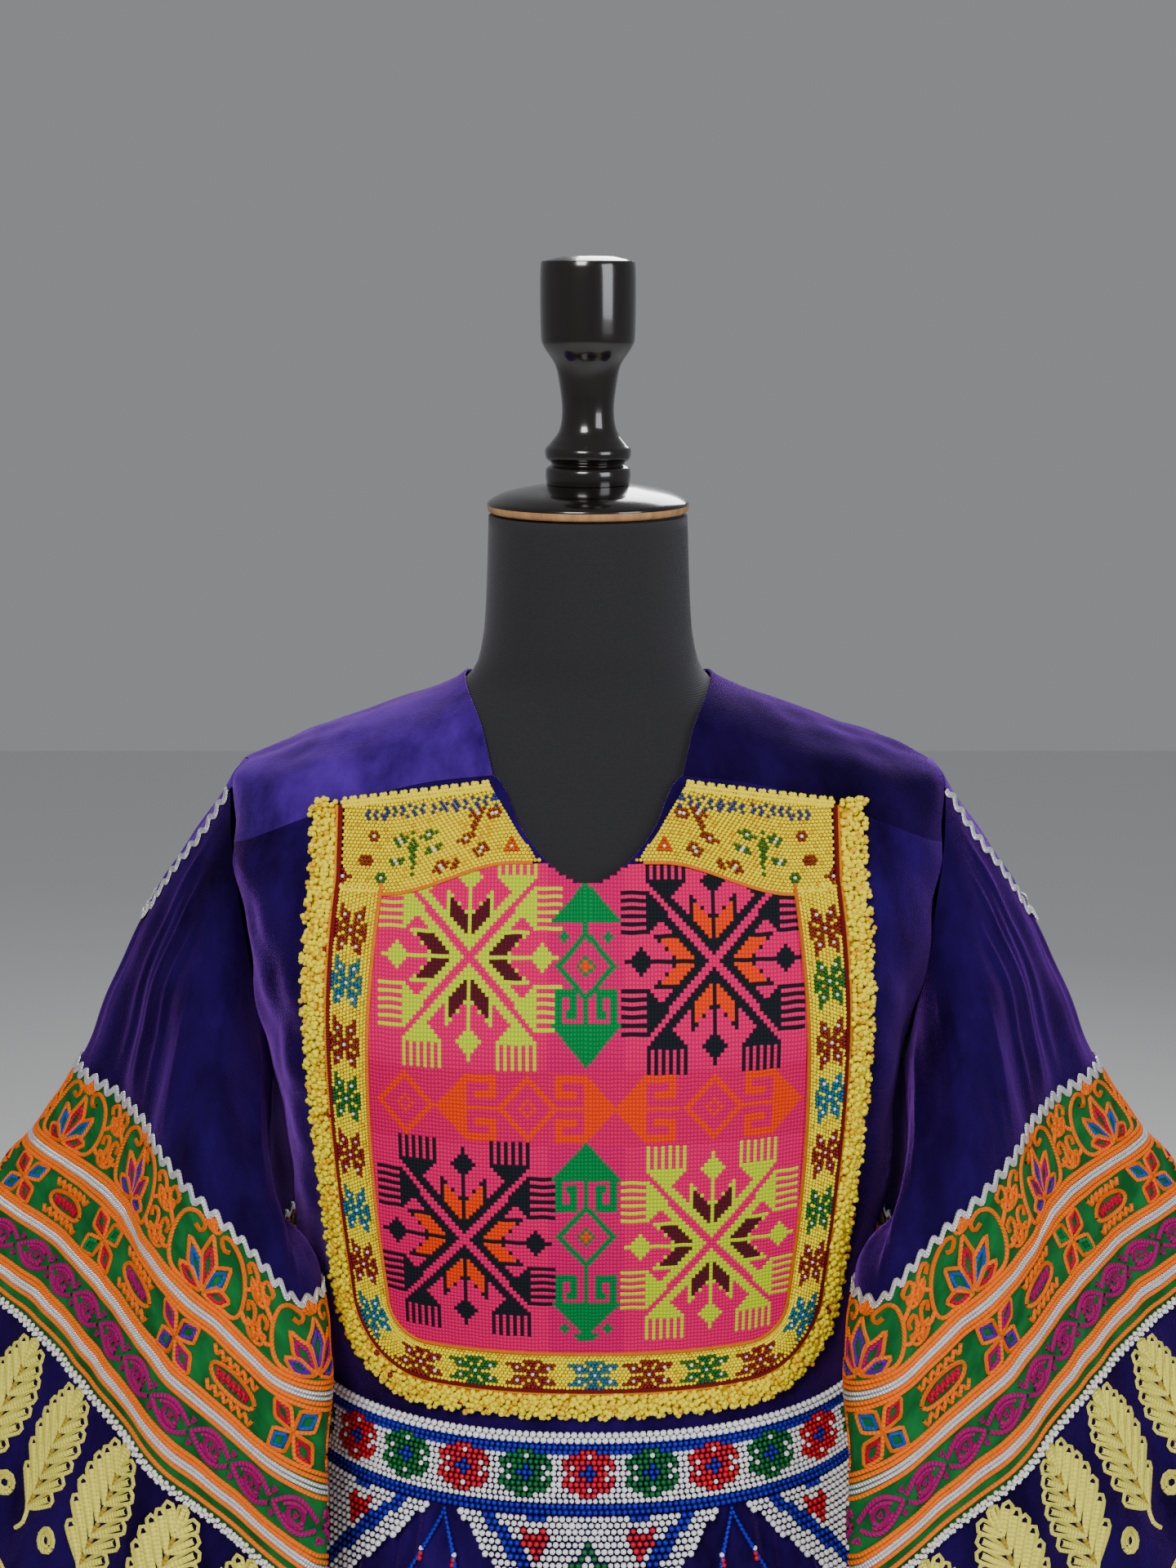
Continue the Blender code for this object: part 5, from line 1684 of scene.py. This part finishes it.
def leaf_tile():
    """One gold leaf below the band, tip up, with long round lobes, and a ring beside its base."""
    leaf_turn = 40
    lines = [([(0, 6), (0.8, 48), (0, 84)], GOLD_DEEP, 1.5)]
    for i, reach in enumerate((17, 22, 27, 30, 31, 30, 25)):
        y = 21 + i * 10.2
        for way in (-1, 1):
            lines.append((lobe_line((0, y), way * leaf_turn, reach, 6.9), GOLD, 1.25))
            tip = np.array((0, y)) + (reach - 3.6) * ways(way * leaf_turn)[0]
            lines.append(([(0, y), (tip[0] / 2, (y + tip[1]) / 2), tip], GOLD, 1.9))
    lines.append((lobe_line((0, 20), 0, 16, 6.6), GOLD, 1.2))
    lines.append(([(0, 18), (0, 12), (0, 5)], GOLD, 1.8))
    lines.append(([(0, 82), (2, 90), (-2, 97)], GOLD, 1.5))
    lines.append((ring_line((25, 84), 6.0), GOLD, 1.6))
    lines.append((ring_line((25, 84), 3.6), GOLD, 1.4))
    return lines


def stitch_lines(lines, middle_share, tile_share, tile_width, start, side, step=2.1):
    """Lay stitched lines, drawn in mm, on the sleeve."""
    drawn = [along_line(line, step) for line, _, _ in lines]
    every = np.concatenate(drawn)
    share = middle_share + every[:, 0] / tile_width * tile_share
    points, out = on_sleeve(share, start + every[:, 1] / 1000, side, 0.0006)
    strips, first = [], 0
    for line, (_, tint, radius) in zip(drawn, lines):
        last = first + len(line)
        strips.append((laid_thread(points[first:last], out[first:last], radius / 1000), tint))
        first = last
    return strips


def round_cord(start, side, radius, tint, lift=0.0006):
    count = 300
    points, out = on_sleeve(np.linspace(0, 1, count), np.full(count, start), side, lift)
    return laid_thread(points, out, radius), tint


def band_stitching(side):
    tiles = int(round(way_round((BAND_START + BAND_END) / 2) / BAND_TILE_ROOM))
    strips = []
    for number in range(tiles):
        strips += stitch_lines(band_tile(number), (number + 0.5) / tiles, 1 / tiles, BAND_TILE_WIDTH,
                               BAND_START, side)
    strips += [round_cord(BAND_START + place, side, 0.00135, ORANGE_THREAD) for place in BAND_ORANGE_ROWS]
    strip_piece(f"band_chain_stitch_{HANDS[side]}", strips, CHAIN)
    silver = [round_cord(BAND_START + place + apart, side, 0.0012, SILVER, 0.0007)
              for place in BAND_SILVER_ROWS for apart in (-0.0011, 0.0011)]
    strip_piece(f"band_cords_{HANDS[side]}", silver, BRAID)


def ric_rac(seam, side, strands):
    """A silver braid of three threads in a wave, from the points and outward ways of each."""
    strips = [(laid_thread(points, out, RIC_RAC_THREAD, 4, 1.0), SILVER) for points, out in strands]
    hand = HANDS[side]
    strip_piece(f"ric_rac_{seam}_{hand}", strips, BRAID, (f"{seam}_braid_{hand}",))


def ric_racs(side):
    share = np.linspace(0, 1, RIC_RAC_WAVES * 8 + 1)
    wave = 0.0027 * np.sin(2 * math.pi * RIC_RAC_WAVES * share)
    ric_rac("band", side, [on_sleeve(share, BAND_START + (wave + apart), side, BRAID_LIFT + 0.0004)
                           for apart in RIC_RAC_STRANDS])
    angles = np.linspace(-CAP_ANGLE, CAP_ANGLE, 400)
    base = sleeve_cloth(angles, cap_reach(angles), side)
    out = sleeve_out(angles, cap_reach(angles), side)
    across = unit(np.cross(np.gradient(base, axis=0), out))
    wave = 0.0025 * np.sin(2 * math.pi * lengths_along(base) / RIC_RAC_WAVE)
    ric_rac("cap", side, [(raised(raised(base, wave + apart, across), 0.0012, out), out)
                          for apart in RIC_RAC_STRANDS])


def bead_rope(side):
    """Two strands of white beads twisted together."""
    length = way_round(BAND_END)
    share = np.linspace(0, 1, int(length / ROPE_PITCH), endpoint=False)
    turns = 2 * math.pi * share * round(length / ROPE_TWIST)
    phase = np.concatenate((turns, turns + math.pi))
    points, _ = on_sleeve(np.tile(share, 2), BAND_END + 0.0015 * np.sin(phase), side,
                          BRAID_LIFT + 0.0019 + 0.0013 * np.cos(phase))
    bead_piece(f"bead_rope_beads_{HANDS[side]}", points, ROPE_BEAD, [WHITE] * len(points),
               (f"bead_rope_{HANDS[side]}",))


def gold_leaves(side):
    leaves = int(round(way_round(BAND_END + 0.03) / LEAF_TILE_ROOM))
    strips = []
    for number in range(leaves):
        strips += stitch_lines(leaf_tile(), (number + 0.3) / leaves, 1 / leaves, LEAF_TILE_WIDTH,
                               BAND_END, side, 3.6)
    strips += [round_cord(BAND_END + place, side, 0.0012, GOLD) for place in CUFF_GOLD_ROWS]
    strip_piece(f"gold_leaves_{HANDS[side]}", strips, CHAIN)


for side in (1, -1):
    band_stitching(side)
    ric_racs(side)
    bead_rope(side)
    gold_leaves(side)


# Belt

BELT_ROSETTES = 27
ROSETTE_BEADS = 11
BELT_COLUMNS = BELT_ROSETTES * ROSETTE_BEADS
BELT_ROWS = 14
BELT_WHITE = shade(250, 250, 252)
BELT_RED = shade(206, 14, 34)
BELT_GREEN = shade(12, 104, 46)
BELT_BLUE = shade(22, 22, 168)
BELT_BEAD = 0.00168
BELT_EDGE = 0.0036
BELT_EDGE_BEAD = 0.00205
BELT_EDGE_BEADS = 250
BEAD_LIFT = 0.0011
POINT_BEAD = 0.00184
POINT_EDGE_BEAD = 0.00215
STRING_BEAD = 0.0013
DROP_BEAD = 0.0017

# The belt's points, in mm

POINT_LENGTH = 100
POINT_TOP = 76
POINT_TIP = 3
POINT_ROWS = 28
POINT_PITCH = 3.6
STRING_PITCH = 2.7


def belt_angle(height, share, apart=0.0):
    """The angle at a share of the way round the belt from the middle of the front, and apart metres on."""
    turns = np.linspace(0, 2 * math.pi, 721)
    lengths = ring_lengths(SKIRT_ROWS, height, turns)
    return np.interp((share * lengths[-1] + apart) % lengths[-1], lengths, turns)


def rosette_colour(c, r, petal):
    """c and r count beads from the rosette's middle."""
    if math.hypot(c, r) < 1.2:
        return BELT_BLUE
    for k in range(6):
        go = math.radians(60 * k)
        away = math.hypot(c - 3.1 * math.sin(go), r - 2.8 * math.cos(go))
        if away < 0.62:
            return BELT_WHITE
        if away < 1.80:
            return petal
    return petal if math.hypot(c, r) < 1.9 else BELT_WHITE


def belt_beads():
    centres, radii, colours = [], [], []
    step = (BELT_TOP - BELT_BOTTOM - BELT_EDGE) / BELT_ROWS
    for row in range(BELT_ROWS):
        height = BELT_TOP - BELT_EDGE - step * (row + 0.5)
        angles = belt_angle(height, (np.arange(BELT_COLUMNS) + 0.25 * (row % 2)) / BELT_COLUMNS)
        centres += list(belt_place(np.full(BELT_COLUMNS, height), angles, BELT_LIFT + BEAD_LIFT))
        for k in range(BELT_COLUMNS):
            number = (k + 5) // ROSETTE_BEADS
            number = min(number, BELT_ROSETTES - number)
            colour = BELT_WHITE
            if within(row, 2, 10):
                petal = BELT_GREEN if number % 2 else BELT_RED
                colour = rosette_colour((k + 5) % ROSETTE_BEADS - 5, row - 6, petal)
            if row in (0, 1, 12, 13) or row == 2 and colour == BELT_WHITE:
                colour = BELT_BLUE
            colours.append(colour)
            radii.append(bead_radius(BELT_BEAD))
    for row, lift in ((0, 0.0016), (1, 0.0019)):
        height = BELT_TOP - 0.0002 - 0.0034 * row
        angles = belt_angle(height, (np.arange(BELT_EDGE_BEADS) + 0.5 * row) / BELT_EDGE_BEADS)
        centres += list(belt_place(np.full(BELT_EDGE_BEADS, height), angles, BELT_LIFT + lift))
        colours += [BELT_WHITE] * BELT_EDGE_BEADS
        radii += [BELT_EDGE_BEAD] * BELT_EDGE_BEADS
    bead_piece("belt_band_beads", centres, radii, colours, ("belt_band",))


def point_half(y):
    """Half a belt point's width, y mm below the belt."""
    return POINT_TIP + (POINT_TOP - POINT_TIP) * (1 - y / POINT_LENGTH)


def point_colour(x, y):
    """x from the point's middle, y down from the belt, in mm."""
    edge = (point_half(y) - abs(x)) * 0.808
    if edge < 12.5:
        return BELT_WHITE
    if edge < 20.5:
        return BELT_BLUE if (int(y / 3.57) + int(abs(x) / 3.6)) % 7 else BELT_WHITE
    if y < 5 and abs(abs(x) - 30) < 7 - y:
        return BELT_BLUE
    dx, dy = abs(abs(x) - 30), y - 15
    if dx < 7.5 - 0.75 * max(dy, 0) and -7 + max(0, 3.2 - dx) * 1.2 < dy < 9:
        return BELT_RED
    away = abs(x) / 19 + abs(y - 38) / 25
    if away < 0.14:
        return BELT_BLUE
    if away < 0.27:
        return BELT_WHITE
    if away < 0.50:
        return BELT_RED
    if away < 0.66:
        return BELT_WHITE
    if away < 0.95:
        return BELT_GREEN
    return BELT_WHITE


def belt_point(number):
    centres, radii, colours = [], [], []
    for row in range(POINT_ROWS):
        y = (row + 0.5) * POINT_LENGTH / POINT_ROWS
        height = BELT_BOTTOM - SEAM_GAP - y / 1000
        half = point_half(y)
        count = int(half / POINT_PITCH)
        xs = [POINT_PITCH * k + POINT_PITCH / 2 * (row % 2) for k in range(-count, count + 1)]
        xs = [x for x in xs if abs(x) <= half - 1.2]
        angles = belt_angle(height, (number - 1) / POINT_COUNT, np.array(xs) / 1000)
        centres += list(belt_place(np.full(len(xs), height), angles, POINT_LIFT + BEAD_LIFT))
        colours += [point_colour(x, y) for x in xs]
        radii += [bead_radius(POINT_EDGE_BEAD if half - abs(x) < 4.5 else POINT_BEAD) for x in xs]
    bead_piece(f"belt_point_beads_{number}", centres, radii, colours,
               (f"belt_point_{number}",))


def belt_strings():
    """Blue strings of beads in the gaps between the points, each ending in a white bead and a red drop."""
    centres, radii, colours = [], [], []
    for number in range(POINT_COUNT):
        for reach, deep in ((10, 24), (19, 44), (27, 62)):
            for way in (-1, 1):
                steps = int(math.hypot(reach, deep) / STRING_PITCH)
                for k in range(steps + 3):
                    x = way * reach * min(k / steps, 1.0) ** 1.15
                    height = BELT_BOTTOM - (3 + deep * k / steps) / 1000
                    angle = float(belt_angle(height, (number + 0.5) / POINT_COUNT, x / 1000))
                    centres.append(belt_place(height, angle, 0.0012))
                    colours.append(BELT_BLUE if k < steps else BELT_WHITE if k == steps else BELT_RED)
                    radii.append(STRING_BEAD if k < steps else DROP_BEAD)
    bead_piece("belt_strings", centres, radii, colours)


belt_beads()
for number in range(1, POINT_COUNT + 1):
    belt_point(number)
belt_strings()


# Floor, light and camera

def studio():
    work = bmesh.new()
    bmesh.ops.create_grid(work, x_segments=2, y_segments=2, size=6)
    mesh = mesh_of("studio_floor", work)
    pale, shader = new_material("pale floor", shade(225, 225, 224), 0.7)
    bump(pale, shader, noise(pale, place_on(pale, "Object"), 900.0, 2.0), 0.03, 0.0004)
    mesh.materials.append(pale)
    floor = bpy.data.objects.new("studio_floor", mesh)
    bpy.context.scene.collection.objects.link(floor)

    world = bpy.data.worlds.new("studio")
    bpy.context.scene.world = world
    world.use_nodes = True
    background = world.node_tree.nodes["Background"]
    background.inputs["Color"].default_value = (0.62, 0.64, 0.67, 1.0)
    background.inputs["Strength"].default_value = 0.40


def soft_light(name, place, aim, size, power, colour):
    lamp = bpy.data.lights.new(name, "AREA")
    lamp.shape = "RECTANGLE"
    lamp.size = lamp.size_y = size
    lamp.energy = power
    lamp.color = colour
    made = bpy.data.objects.new(name, lamp)
    made.location = place
    way = np.array(place) - np.array(aim)
    flat = math.hypot(way[0], way[1])
    made.rotation_euler = (math.atan2(flat, way[2]), 0, math.atan2(way[0], -way[1]))
    bpy.context.scene.collection.objects.link(made)


def camera():
    """The photograph's view: 1.573 m high, tilted 13.2 degrees down."""
    view = bpy.data.cameras.new("photo_camera")
    view.lens = 48.75
    view.sensor_width = 36.0
    made = bpy.data.objects.new("photo_camera", view)
    made.location = (0, -1.214, 1.573)
    made.rotation_euler = (math.radians(90 - 13.2), 0, 0)
    bpy.context.scene.collection.objects.link(made)
    bpy.context.scene.camera = made


studio()
soft_light("key", (-0.7, -2.3, 3.0), (0, 0, 1.15), 1.0, 74.0, (1.0, 0.98, 0.95))
soft_light("fill", (1.9, -1.7, 2.0), (0, 0, 1.1), 1.2, 30.0, (0.92, 0.95, 1.0))
soft_light("rim", (0.5, 2.2, 2.6), (0, 0, 1.2), 1.2, 45.0, (1.0, 1.0, 1.0))
camera()
